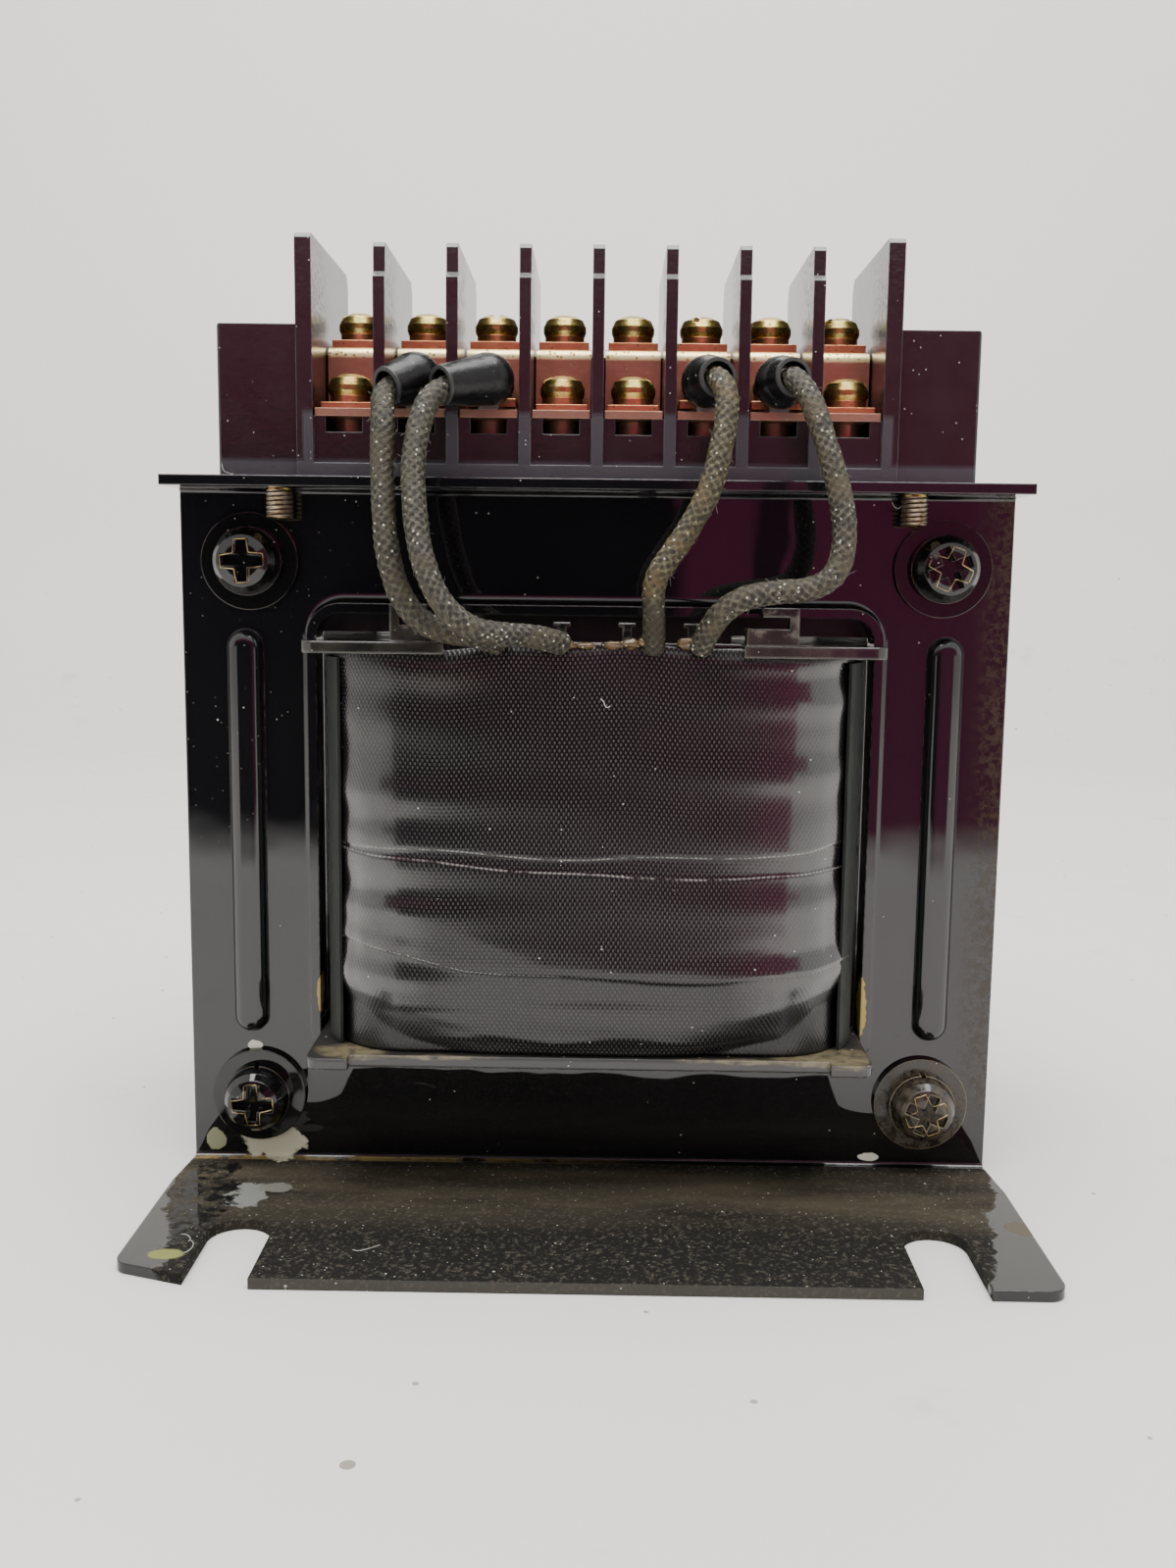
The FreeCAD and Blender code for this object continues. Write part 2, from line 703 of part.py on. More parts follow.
# Bobbin and coil
def bobbin_flange(body, base, recess_width, recess_depth):
    """A flange with four ears and a set-back edge between them."""
    half = BOBBIN_WIDTH / 2
    ear = EAR_DEPTH / 2
    recess = recess_width / 2
    back = recess_depth / 2
    sketch = sketch_on(body, "XY_Plane", base)
    polygon(
        sketch,
        [
            (-half, -ear),
            (-recess, -ear),
            (-recess, -back),
            (recess, -back),
            (recess, -ear),
            (half, -ear),
            (half, ear),
            (recess, ear),
            (recess, back),
            (-recess, back),
            (-recess, ear),
            (-half, ear),
        ],
    )
    pad(body, sketch, D["flange_gauge"])
    round_edges(
        body,
        D["ear_corner"],
        lambda edge: lies_at(edge, ALONG_Z, x=(half,), y=(ear,), z=base + D["flange_gauge"] / 2),
    )


def bobbin_hooks(body):
    """Two hooks on the front ears that keep the leads in place."""
    inner = TOP_RECESS_WIDTH / 2 + D["hook_side_gap"]
    outer = inner + D["hook_width"]
    lip = inner + D["hook_width"] * 0.3
    front = EAR_DEPTH / 2 - D["hook_front_gap"]
    base = BOBBIN_TOP
    wall = D["hook_wall"]
    for side in (-1.0, 1.0):
        sketch = sketch_on(body, "XZ_Plane", front - D["hook_depth"])
        polygon(
            sketch,
            [
                (inner * side, base - ROOT),
                (outer * side, base - ROOT),
                (outer * side, base + D["hook_height"]),
                (lip * side, base + D["hook_height"]),
                (lip * side, base + D["hook_height"] - wall),
                ((outer - wall) * side, base + D["hook_height"] - wall),
                ((outer - wall) * side, base + D["hook_base"]),
                (inner * side, base + D["hook_base"]),
            ],
        )
        pad(body, sketch, D["hook_depth"])


def bobbin_posts(body):
    """Three small T-headed posts behind the set-back front edge."""
    base = BOBBIN_TOP - ROOT
    for place in (-0.5, 0.5, 1.5):
        middle = D["post_pitch"] * place
        neck = D["post_width"] / 2
        head = D["post_head"] / 2
        top = BOBBIN_TOP + D["post_height"]
        under = top - D["post_head_gauge"]
        sketch = sketch_on(body, "XZ_Plane", TOP_RECESS_DEPTH / 2 - D["post_width"] * 1.5)
        polygon(
            sketch,
            [
                (middle - neck, base),
                (middle + neck, base),
                (middle + neck, under),
                (middle + head, under),
                (middle + head, top),
                (middle - head, top),
                (middle - head, under),
                (middle - neck, under),
            ],
        )
        pad(body, sketch, D["post_width"])


def make_bobbin(label):
    body = new_body(label)
    hole_x = D["leg_width"] / 2 + D["leg_gap"]
    hole_y = D["stack"] / 2 + D["leg_gap"]
    tube_x = hole_x + D["tube_wall"]
    tube_y = hole_y + D["tube_wall"]
    sketch = sketch_on(body, "XY_Plane", BOBBIN_BASE)
    rectangle(sketch, (-tube_x, -tube_y), (tube_x, tube_y))
    pad(body, sketch, BOBBIN_HEIGHT)
    bobbin_flange(body, BOBBIN_BASE, LOW_RECESS_WIDTH, LOW_RECESS_DEPTH)
    bobbin_flange(
        body,
        BOBBIN_TOP - D["flange_gauge"],
        TOP_RECESS_WIDTH,
        TOP_RECESS_DEPTH,
    )
    bore = sketch_on(body, "XY_Plane", BOBBIN_BASE - PAST)
    rectangle(bore, (-hole_x, -hole_y), (hole_x, hole_y))
    pocket(body, bore, BOBBIN_HEIGHT + PAST * 2)
    bobbin_hooks(body)
    bobbin_posts(body)
    return body


def make_ring(label, inner, build, corner):
    """One layer of the coil: a rounded rectangular ring around the tube.

    inner is how far the layer starts outside the leg and the stack.
    """
    body = new_body(label)
    in_x = D["leg_width"] / 2 + inner
    in_y = D["stack"] / 2 + inner
    out_x = in_x + build
    out_y = in_y + build
    sketch = sketch_on(body, "XY_Plane", COIL_BASE)
    rectangle(sketch, (-out_x, -out_y), (out_x, out_y))
    pad(body, sketch, COIL_HEIGHT)
    bore = sketch_on(body, "XY_Plane", COIL_BASE - PAST)
    rectangle(bore, (-in_x, -in_y), (in_x, in_y))
    pocket(body, bore, COIL_HEIGHT + PAST * 2)
    if number(corner) > number(build) + 0.5:
        round_edges(
            body,
            corner - build,
            lambda edge: lies_at(edge, ALONG_Z, x=(in_x,), y=(in_y,)),
        )
    round_edges(
        body,
        corner,
        lambda edge: lies_at(edge, ALONG_Z, x=(out_x,), y=(out_y,)),
    )
    return body


def coil_layers():
    """The coil from the inside out, each layer seated on the one before it."""
    second = COIL_START + PRIMARY_BUILD
    third = second + D["barrier_build"]
    fourth = third + SECONDARY_BUILD
    corner = D["coil_corner"]
    tape_corner = corner
    secondary_corner = corner - D["tape_build"]
    barrier_corner = secondary_corner - SECONDARY_BUILD
    primary_corner = barrier_corner - D["barrier_build"]
    return [
        make_ring("primary_winding", COIL_START, PRIMARY_BUILD, primary_corner),
        make_ring("interwinding_insulation", second, D["barrier_build"], barrier_corner),
        make_ring("secondary_winding", third, SECONDARY_BUILD, secondary_corner),
        make_ring("tape_wrap", fourth, D["tape_build"], tape_corner),
    ]


def coil_outside():
    """How far the tape's outer face lies outside the leg and the stack."""
    return D["window_width"] - D["coil_clearance"]


def make_boards(label):
    """Two bent insulating boards that hug the sides of the coil, one left and one right."""
    outside = number(coil_outside())
    half_x = number(D["leg_width"]) / 2 + outside
    half_y = number(D["stack"]) / 2 + outside
    corner = number(D["coil_corner"])
    near = number(D["board_gap"])
    thick = number(D["board_gauge"])
    centre_x = half_x - corner
    centre_y = half_y - corner
    turn = math.radians(BOARD_WRAP)

    def ray(radius, angle, sign):
        return Vector(
            centre_x + radius * math.cos(angle), sign * (centre_y + radius * math.sin(angle)), 0
        )

    small = corner + near
    large = small + thick
    edges = [
        Part.LineSegment(ray(large, 0, 1), ray(large, 0, -1)).toShape(),
        Part.Arc(ray(large, 0, -1), ray(large, turn / 2, -1), ray(large, turn, -1)).toShape(),
        Part.LineSegment(ray(large, turn, -1), ray(small, turn, -1)).toShape(),
        Part.Arc(ray(small, turn, -1), ray(small, turn / 2, -1), ray(small, 0, -1)).toShape(),
        Part.LineSegment(ray(small, 0, -1), ray(small, 0, 1)).toShape(),
        Part.Arc(ray(small, 0, 1), ray(small, turn / 2, 1), ray(small, turn, 1)).toShape(),
        Part.LineSegment(ray(small, turn, 1), ray(large, turn, 1)).toShape(),
        Part.Arc(ray(large, turn, 1), ray(large, turn / 2, 1), ray(large, 0, 1)).toShape(),
    ]
    face = Part.Face(Part.Wire(edges))
    right = face.extrude(Vector(0, 0, number(BOARD_HEIGHT)))
    left = right.mirror(Vector(0, 0, 0), Vector(1, 0, 0))
    boards = doc.addObject("Part::Feature", label)
    boards.Label = label
    boards.Shape = Part.Compound([left, right])
    put(boards, z=COIL_BASE)
    return boards


# Clamp fasteners
def make_clamp_bolt(name, x, z, turn):
    """A pan head bolt with a cross recess; the head faces the viewer."""
    body = new_body(name)
    head_seat = PLATE_FACE + D["washer_gauge"] + D["spring_gauge"]
    tip = -(head_seat + D["nut_height"] + D["bolt_end"])
    crown = head_seat + D["bolt_head_height"]
    radius = D["bolt_head"] / 2
    shank = D["bolt_thread"] / 2
    profile = sketch_on(body, "XZ_Plane")
    polygon(
        profile,
        [
            (0.0, tip),
            (shank - D["bolt_point"], tip),
            (shank, tip + D["bolt_point"]),
            (shank, head_seat),
            (radius * 0.97, head_seat),
            (radius, head_seat + D["bolt_head_height"] * 0.25),
            (radius * 0.94, head_seat + D["bolt_head_height"] * 0.52),
            (radius * 0.78, head_seat + D["bolt_head_height"] * 0.83),
            (radius * 0.52, head_seat + D["bolt_head_height"] * 0.97),
            (0.0, crown),
        ],
    )
    revolution(body, profile)
    half_span = D["bolt_recess"] / 2
    half_slot = D["bolt_recess_slot"] / 2
    recess = sketch_on(body, "XY_Plane", crown - D["bolt_recess_depth"])
    polygon(
        recess,
        [
            (-half_slot, -half_span),
            (half_slot, -half_span),
            (half_slot, -half_slot),
            (half_span, -half_slot),
            (half_span, half_slot),
            (half_slot, half_slot),
            (half_slot, half_span),
            (-half_slot, half_span),
            (-half_slot, half_slot),
            (-half_span, half_slot),
            (-half_span, -half_slot),
            (-half_slot, -half_slot),
        ],
    )
    pocket(body, recess, D["bolt_recess_depth"] + PAST)
    face_viewer = Rotation(ALONG_X, 90)
    put(body, x, 0.0, z, Rotation(ALONG_Y, turn).multiply(face_viewer))
    return body


def make_disc(name, outer, bore, gauge, x, y, z, split=None):
    """A washer round a clamp bolt, standing upright on the plate; y is its front face."""
    body = new_body(name)
    sketch = sketch_on(body, "XZ_Plane")
    circle(sketch, (0.0, 0.0), outer)
    circle(sketch, (0.0, 0.0), bore)
    pad(body, sketch, gauge)
    if split is not None:
        gap = sketch_on(body, "XZ_Plane", -PAST)
        rectangle(gap, (split / -2.0, 0.0), (split / 2.0, outer))
        pocket(body, gap, gauge + PAST * 2)
    put(body, x, y, z)
    return body


def make_nut(name, x, z):
    body = new_body(name)
    flat = D["nut_width"] / 2
    corner = D["nut_width"] / math.sqrt(3.0)
    sketch = sketch_on(body, "XZ_Plane")
    polygon(
        sketch,
        [
            (corner, 0.0),
            (corner / 2, flat),
            (corner / -2.0, flat),
            (-corner, 0.0),
            (corner / -2.0, -flat),
            (corner / 2, -flat),
        ],
    )
    pad(body, sketch, D["nut_height"])
    bore = sketch_on(body, "XZ_Plane", -PAST)
    circle(bore, (0.0, 0.0), D["bolt_thread"] + D["thread_gap"])
    pocket(body, bore, D["nut_height"] + PAST * 2)
    back = PLATE_FACE + D["washer_gauge"] + D["spring_gauge"] + D["nut_height"]
    put(body, x, back, z)
    return body


def clamp_fasteners():
    """Four through bolts, with both kinds of washer at each end and a nut at the back."""
    turns = {(-1, 1): 3.0, (1, 1): -22.0, (-1, -1): 5.0, (1, -1): 21.0}
    bolts = []
    flats = []
    springs = []
    nuts = []
    flat_front = -PLATE_FACE
    spring_front = flat_front - D["washer_gauge"]
    flat_back = PLATE_FACE + D["washer_gauge"]
    spring_back = flat_back + D["spring_gauge"]
    bore = D["bolt_thread"] + D["thread_gap"] * 2
    for order, ((side, level), turn) in enumerate(turns.items(), start=1):
        x = BOLT_X * float(side)
        z = BOLT_HIGH if level > 0 else BOLT_LOW
        tag = str(order)
        bolts.append(make_clamp_bolt("bolt_" + tag, x, z, turn))
        for end, y in (("front_", flat_front), ("back_", flat_back)):
            flats.append(
                make_disc(
                    "flat_" + end + tag, D["washer_width"], bore, D["washer_gauge"], x, y, z
                )
            )
        for end, y in (("front_", spring_front), ("back_", spring_back)):
            springs.append(
                make_disc(
                    "spring_" + end + tag,
                    SPRING_WIDTH,
                    bore,
                    D["spring_gauge"],
                    x,
                    y,
                    z,
                    D["spring_split"],
                )
            )
        nuts.append(make_nut("nut_" + tag, x, z))
    return [
        group("clamp_bolts", bolts),
        group("clamp_flat_washers", flats),
        group("clamp_spring_washers", springs),
        group("clamp_nuts", nuts),
    ]


# Terminal block
def block_core(body):
    """The stepped middle of the moulding that carries the terminal plates."""
    half = D["pitch"] * (POLES / 2) + D["barrier_gauge"] / 2
    back = BLOCK_FRONT + D["block_depth"]
    riser = BLOCK_FRONT + D["riser_back"] + D["tab_gauge"]
    front = BLOCK_FRONT + D["panel_recess"]
    profile = sketch_on(body, "YZ_Plane", -half)
    polygon(
        profile,
        [
            (BLOCK_FRONT, FLANGE_TOP),
            (back, FLANGE_TOP),
            (back, HIGH_TAB - D["tab_gauge"]),
            (riser, HIGH_TAB - D["tab_gauge"]),
            (riser, LOW_TAB - D["tab_gauge"]),
            (front, LOW_TAB - D["tab_gauge"]),
            (front, FLANGE_TOP + D["plinth_height"]),
            (BLOCK_FRONT, FLANGE_TOP + D["plinth_height"]),
        ],
    )
    pad(body, profile, half * 2)


def block_barrier(body, middle, thickness, height, stepped):
    """One barrier: an upright wall with a chamfered, stepped front edge."""
    top = FLANGE_TOP + height
    back = BLOCK_FRONT + D["block_depth"]
    chamfer = D["barrier_chamfer"]
    sketch = sketch_on(body, "YZ_Plane", middle - thickness / 2)
    if stepped:
        step = top - D["barrier_step"]
        set_back = BLOCK_FRONT + D["barrier_step_depth"]
        front_edge = [
            (BLOCK_FRONT, step - D["barrier_step_depth"]),
            (set_back, step),
            (set_back, top - chamfer),
            (set_back + chamfer, top),
        ]
    else:
        front_edge = [(BLOCK_FRONT, top - chamfer), (BLOCK_FRONT + chamfer, top)]
    outline = [(BLOCK_FRONT, FLANGE_TOP)] + front_edge
    outline = outline + [
        (back - chamfer * 2, top),
        (back, top - chamfer * 3),
        (back, FLANGE_TOP),
    ]
    polygon(sketch, outline)
    return pad(body, sketch, thickness)


def block_barriers(body):
    """Seven inner barriers as a pattern, and a thicker, taller one at each end."""
    reach = D["pitch"] * (POLES / 2)
    first = block_barrier(
        body, D["pitch"] * (1 - POLES / 2), D["barrier_gauge"], D["barrier_height"], True
    )
    pattern = body.newObject("PartDesign::LinearPattern", "barriers")
    pattern.Originals = [first]
    pattern.Direction = (origin_part(body, "X_Axis"), [""])
    bind(pattern, "Length", D["pitch"] * (POLES - 2))
    pattern.Occurrences = POLES - 1
    body.Tip = pattern
    doc.recompute()
    for side in (-1.0, 1.0):
        middle = (reach + (D["end_barrier_gauge"] - D["barrier_gauge"]) / 2) * side
        block_barrier(body, middle, D["end_barrier_gauge"], D["end_barrier_height"], False)


def block_ends(body):
    """The plain blocks at both ends, bored for the fixing screws."""
    inner = D["pitch"] * (POLES / 2)
    outer = inner + D["end_barrier_gauge"] + D["end_block_width"] - D["barrier_gauge"] / 2
    front = BLOCK_FRONT + D["end_block_inset"]
    back = BLOCK_FRONT + D["block_depth"] - D["end_block_inset"]
    top = FLANGE_TOP + D["end_block_height"]
    for side in (-1.0, 1.0):
        sketch = sketch_on(body, "XY_Plane", FLANGE_TOP)
        rectangle(sketch, (inner * side, front), (outer * side, back))
        pad(body, sketch, D["end_block_height"])
    round_edges(
        body,
        D["end_block_round"],
        lambda edge: lies_at(edge, ALONG_Z, x=(outer,))
        or lies_at(edge, ALONG_Y, x=(outer,), z=top),
    )
    bores = sketch_on(body, "XY_Plane", FLANGE_TOP - PAST)
    seats = sketch_on(body, "XY_Plane", FLANGE_TOP + D["fix_seat"])
    for side in (-1.0, 1.0):
        place = (FIX_SPACING / 2 * side, FIX_Y)
        circle(bores, place, FIX_BORE)
        circle(seats, place, FIX_COUNTERBORE)
    pocket(body, bores, D["end_block_height"] + PAST * 2)
    pocket(body, seats, D["end_block_height"])


def block_pockets(body):
    """Holes under the tabs for the collars and screws, and a notch in front of each."""
    low = sketch_on(body, "XY_Plane", LOW_TAB - D["tab_gauge"] - LOW_POCKET_DEPTH)
    high = sketch_on(body, "XY_Plane", HIGH_TAB - D["tab_gauge"] - HIGH_POCKET_DEPTH)
    notches = sketch_on(body, "XY_Plane", LOW_TAB - D["tab_gauge"] - D["notch_height"])
    half_notch = D["notch_width"] / 2
    for pole in range(1, POLES + 1):
        x = pole_x(pole)
        circle(low, (x, LOW_SCREW_Y), BOSS_POCKET)
        circle(high, (x, HIGH_SCREW_Y), BOSS_POCKET)
        rectangle(notches, (x - half_notch, BLOCK_FRONT - PAST), (x + half_notch, LOW_SCREW_Y))
    pocket(body, low, LOW_POCKET_DEPTH)
    pocket(body, high, HIGH_POCKET_DEPTH)
    pocket(body, notches, D["notch_height"])


def make_terminal_base(label):
    body = new_body(label)
    block_core(body)
    block_barriers(body)
    block_ends(body)
    block_pockets(body)
    return body


def make_terminal_plate(name, pole):
    """A stepped plate: lower tab, riser and upper tab, each tab with a drawn, tapped collar."""
    body = new_body(name)
    gauge = D["tab_gauge"]
    front = BLOCK_FRONT + D["tab_front_gap"]
    riser = BLOCK_FRONT + D["riser_back"]
    back = riser + D["high_tab_length"]
    half = TAB_WIDTH / 2
    x = pole_x(pole)
    profile = sketch_on(body, "YZ_Plane", x - half)
    polygon(
        profile,
        [
            (front, LOW_TAB - gauge),
            (riser + gauge, LOW_TAB - gauge),
            (riser + gauge, HIGH_TAB - gauge),
            (back, HIGH_TAB - gauge),
            (back, HIGH_TAB),
            (riser, HIGH_TAB),
            (riser, LOW_TAB),
            (front, LOW_TAB),
        ],
    )
    pad(body, profile, TAB_WIDTH)
    round_edges(
        body,
        gauge * 1.4,
        lambda edge: lies_at(edge, ALONG_X, y=riser, z=HIGH_TAB),
    )
    for y, level in ((LOW_SCREW_Y, LOW_TAB), (HIGH_SCREW_Y, HIGH_TAB)):
        boss = sketch_on(body, "XY_Plane", level - gauge - D["boss_height"])
        circle(boss, (x, y), BOSS_WIDTH)
        pad(body, boss, D["boss_height"] + gauge / 2)
        bore = sketch_on(body, "XY_Plane", level - gauge - D["boss_height"] - PAST)
        circle(bore, (x, y), SCREW_BORE)
        pocket(body, bore, D["boss_height"] + gauge + PAST * 2)
    return body


# Terminal screws
def make_screw(label, x, y, seat, turn, length=None):
    """A domed, slotted screw whose head bears at the seat height."""
    body = new_body(label)
    radius = SCREW_HEAD / 2
    shank = D["screw_thread"] / 2
    height = D["screw_head_height"]
    reach = length if length is not None else D["screw_length"] + WASHER_STACK
    profile = sketch_on(body, "XZ_Plane")
    polygon(
        profile,
        [
            (0.0, -reach),
            (shank - D["screw_point"], -reach),
            (shank, -(reach - D["screw_point"])),
            (shank, 0.0),
            (radius * 0.91, 0.0),
            (radius, height * 0.22),
            (radius, height * 0.45),
            (radius * 0.85, height * 0.78),
            (radius * 0.5, height * 0.96),
            (0.0, height),
        ],
    )
    revolution(body, profile)
    slot = sketch_on(body, "XY_Plane", height - D["screw_slot_depth"])
    half = D["screw_slot"] / 2
    rectangle(slot, (-(radius + PAST), -half), (radius + PAST, half))
    pocket(body, slot, D["screw_slot_depth"] + PAST)
    put(body, x, y, seat, Rotation(ALONG_Z, turn))
    return body


def make_washers(label, x, y, seat):
    """The captive pair of a terminal screw: a square washer and a spring washer on it."""
    half = SQUARE_WASHER / 2
    square = new_body(label + "_square")
    outline = sketch_on(square, "XY_Plane")
    rectangle(outline, (-half, -half), (half, half))
    circle(outline, (0.0, 0.0), SCREW_BORE)
    pad(square, outline, D["square_washer_gauge"])
    put(square, x, y, seat)
    ring = new_body(label + "_ring")
    outline = sketch_on(ring, "XY_Plane")
    circle(outline, (0.0, 0.0), SMALL_SPRING_WIDTH)
    circle(outline, (0.0, 0.0), SCREW_BORE)
    pad(ring, outline, D["small_spring_gauge"])
    put(ring, x, y, seat + D["square_washer_gauge"])
    return [square, ring]


LEAD_POLES = (2, 3, 6, 7)
LOW_TURNS = {1: -12.0, 2: 40.0, 3: 10.0, 4: 28.0, 5: -35.0, 6: 15.0, 7: 60.0, 8: -20.0}
FIX_TURN = 30.0
HIGH_TURNS = {1: 35.0, 2: -10.0, 3: 95.0, 4: 20.0, 5: -40.0, 6: 70.0, 7: -25.0, 8: 50.0}


def terminal_screws():
    """Twelve free screws with their washers, and four that hold the leads' lugs."""
    nodes = []
    held_screws = []
    held_washers = []
    for pole in range(1, POLES + 1):
        x = pole_x(pole)
        tag = str(pole)
        nodes.append(
            make_screw(
                "upper_screw_" + tag, x, HIGH_SCREW_Y, HIGH_TAB + WASHER_STACK, HIGH_TURNS[pole]
            )
        )
        pair = make_washers("upper_washers_" + tag, x, HIGH_SCREW_Y, HIGH_TAB)
        nodes.append(group("upper_washers_" + tag, pair))
        if pole in LEAD_POLES:
            seat = LOW_TAB + D["lug_gauge"]
            held_screws.append(
                make_screw("held_screw_" + tag, x, LOW_SCREW_Y, seat + WASHER_STACK,
                           LOW_TURNS[pole])
            )
            held_washers.extend(make_washers("held_washers_" + tag, x, LOW_SCREW_Y, seat))
            continue
        nodes.append(
            make_screw(
                "lower_screw_" + tag, x, LOW_SCREW_Y, LOW_TAB + WASHER_STACK, LOW_TURNS[pole]
            )
        )
        pair = make_washers("lower_washers_" + tag, x, LOW_SCREW_Y, LOW_TAB)
        nodes.append(group("lower_washers_" + tag, pair))
    nodes.append(group("lead_screws", held_screws))
    nodes.append(group("lead_washers", held_washers))
    return nodes


def block_screws():
    """The two screws that fix the moulding to the flange, their tips below it."""
    seat = FLANGE_TOP + D["fix_seat"]
    length = D["fix_seat"] + D["gauge"] + D["fix_tip"]
    screws = []
    for tag, side in (("left", -1.0), ("right", 1.0)):
        screws.append(
            make_screw(
                "fix_" + tag, FIX_SPACING / 2 * side, FIX_Y, seat, FIX_TURN * side, length
            )
        )
    return group("block_fixing_screws", screws)


# Where each boot points: from its closed end to its mouth, in widths of a boot
BOOT_AIMS = {
    2: Vector(-0.466, -0.519, -0.21),
    3: Vector(-0.815, -0.691, -0.198),
    6: Vector(0.161, -0.543, 0.025),
    7: Vector(0.182, -0.494, 0.049),
}
# Each lead's route after the boot: offsets from the boot's mouth, then offsets from the top
# of the coil's front, at the middle
ROUTES = {
    2: (
        [
            (-0.6, -0.6, -0.6),
            (0.2, -4.2, -5.1),
            (0.2, -5.4, -9.2),
        ],
        [
            (-31.4, -2.1, 25.85),
            (-30.9, -3.7, 20.05),
            (-30.2, -4.8, 14.65),
            (-28.6, -5.0, 8.95),
            (-25.6, -4.9, 5.05),
            (-21.0, -4.3, 3.35),
            (-16.5, -2.3, 2.75),
            (-14.4, 0.8, 1.7),
        ],
    ),
    3: (
        [
            (-0.9, -0.8, -0.3),
            (-2.8, -4.4, -6.3),
            (-3.3, -6.0, -11.5),
        ],
        [
            (-26.4, -4.7, 23.65),
            (-25.7, -6.7, 18.55),
            (-24.6, -8.3, 13.25),
            (-22.0, -9.0, 7.75),
            (-18.0, -8.5, 4.15),
            (-13.6, -6.5, 3.35),
            (-8.4, -3.0, 3.15),
            (-4.6, 0.8, 1.9),
        ],
    ),
    6: (
        [
            (0.3, -0.9, -0.3),
            (1.3, -3.6, -4.0),
            (0.3, -5.6, -10.6),
        ],
        [
            (16.8, -2.5, 24.85),
            (14.0, -2.9, 19.45),
            (10.9, -3.1, 14.85),
            (8.6, -3.1, 11.55),
            (8.9, -2.3, 6.65),
            (9.0, 0.7, 0.9),
        ],
    ),
    7: (
        [
            (0.3, -0.8, -0.2),
            (2.6, -3.8, -4.6),
            (4.5, -5.8, -11.2),
        ],
        [
            (35.6, -2.5, 24.35),
            (36.5, -3.5, 18.35),
            (35.4, -4.4, 12.65),
            (31.9, -4.7, 10.35),
            (26.5, -4.9, 9.95),
            (20.9, -4.7, 8.85),
            (17.3, -2.9, 5.55),
            (15.8, 0.7, 1.2),
        ],
    ),
}


def boot_end(pole):
    """The middle of a boot's closed end, over the front of the lower tab."""
    return (pole_x(pole), LOW_SCREW_Y - D["boot_ahead"], LOW_TAB + D["boot_rise"])


def boot_run(pole):
    """From a boot's closed end to its mouth."""
    return BOOT_AIMS[pole] * number(BOOT_WIDTH)


def route_points(pole):
    """The lead's route in the common frame."""
    from_boot, from_coil = ROUTES[pole]
    end = boot_end(pole)
    closed = Vector(number(end[0]), number(end[1]), number(end[2]))
    mouth = closed + boot_run(pole)
    crimp = boot_run(pole).normalize() * number(D["lug_barrel_length"] + D["lead_gap"])
    coil_front = -number(D["stack"] / 2 + coil_outside())
    coil_top = Vector(0, coil_front, number(COIL_BASE + COIL_HEIGHT))
    points = [closed + crimp]
    points = points + [mouth + Vector(*offset) for offset in from_boot]
    return points + [coil_top + Vector(*offset) for offset in from_coil]


def lead_path(points):
    """Straight runs joined by tangent arcs, each as large as its two runs allow."""
    edges = []
    radii = []
    last = points[0]
    for i in range(1, len(points) - 1):
        before = points[i - 1] - points[i]
        after = points[i + 1] - points[i]
        shorter = min(before.Length, after.Length)
        half_turn = (math.pi - before.getAngle(after)) / 2
        reach = 0.45 * shorter
        radii.append(reach / math.tan(half_turn))
        start = points[i] + before * (reach / before.Length)
        end = points[i] + after * (reach / after.Length)
        bisector = before / before.Length + after / after.Length
        bisector.normalize()
        depth = radii[-1] / math.cos(half_turn) - radii[-1]
        edges.append(Part.LineSegment(last, start).toShape())
        edges.append(Part.Arc(start, points[i] + bisector * depth, end).toShape())
        last = end
    edges.append(Part.LineSegment(last, points[-1]).toShape())
    return Part.Wire(edges), radii


def make_lead(label, pole):
    """A sleeved lead as a plain tube along its route."""
    points = route_points(pole)
    path, radii = lead_path(points)
    radius = number(D["lead_width"]) / 2
    section = Part.Wire(
        Part.makeCircle(radius, points[0], points[1] - points[0])
    )
    tube = path.makePipeShell([section], True, False)
    expected = math.pi * radius * radius * path.Length
    if abs(tube.Volume - expected) > 0.03 * expected:
        raise RuntimeError(label + ": the tube's volume is off")
    print(label, "length", round(path.Length, 1), "radii", [round(r, 1) for r in radii])
    lead = doc.addObject("Part::Feature", label)
    lead.Label = label
    lead.Shape = tube
    return lead


def along_boot(pole):
    """Turns the z axis to the boot's axis."""
    return Rotation(ALONG_Z, BOOT_AIMS[pole])


def primitive(kind, name, place, rotation=None, **sizes):
    """A Part primitive with its sizes bound to the sheet."""
    thing = doc.addObject("Part::" + kind, name)
    for prop, size in sizes.items():
        bind(thing, prop, size)
    put(thing, place[0], place[1], place[2], rotation)
    return thing


def boot_form(name, pole, radius, mouth_radius, beyond):
    """A sleeve with a round closed end; a hollow one runs on beyond the mouth."""
    place = boot_end(pole)
    turned = along_boot(pole)
    length = BOOT_WIDTH * BOOT_AIMS[pole].Length
    forms = [
        primitive("Sphere", name + "_end", place, turned, Radius=radius),
        primitive(
            "Cone", name + "_sleeve", place, turned,
            Radius1=radius, Radius2=mouth_radius, Height=length,
        ),
    ]
    if beyond:
        offset = turned.multVec(Vector(0, 0, number(length) - TOLERANCE))
        mouth = (place[0] + offset.x, place[1] + offset.y, place[2] + offset.z)
        forms.append(
            primitive("Cylinder", name + "_mouth", mouth, turned, Radius=mouth_radius,
                      Height=D["boot_wall"] * 3)
        )
    fused = doc.addObject("Part::MultiFuse", name)
    fused.Shapes = forms
    return fused


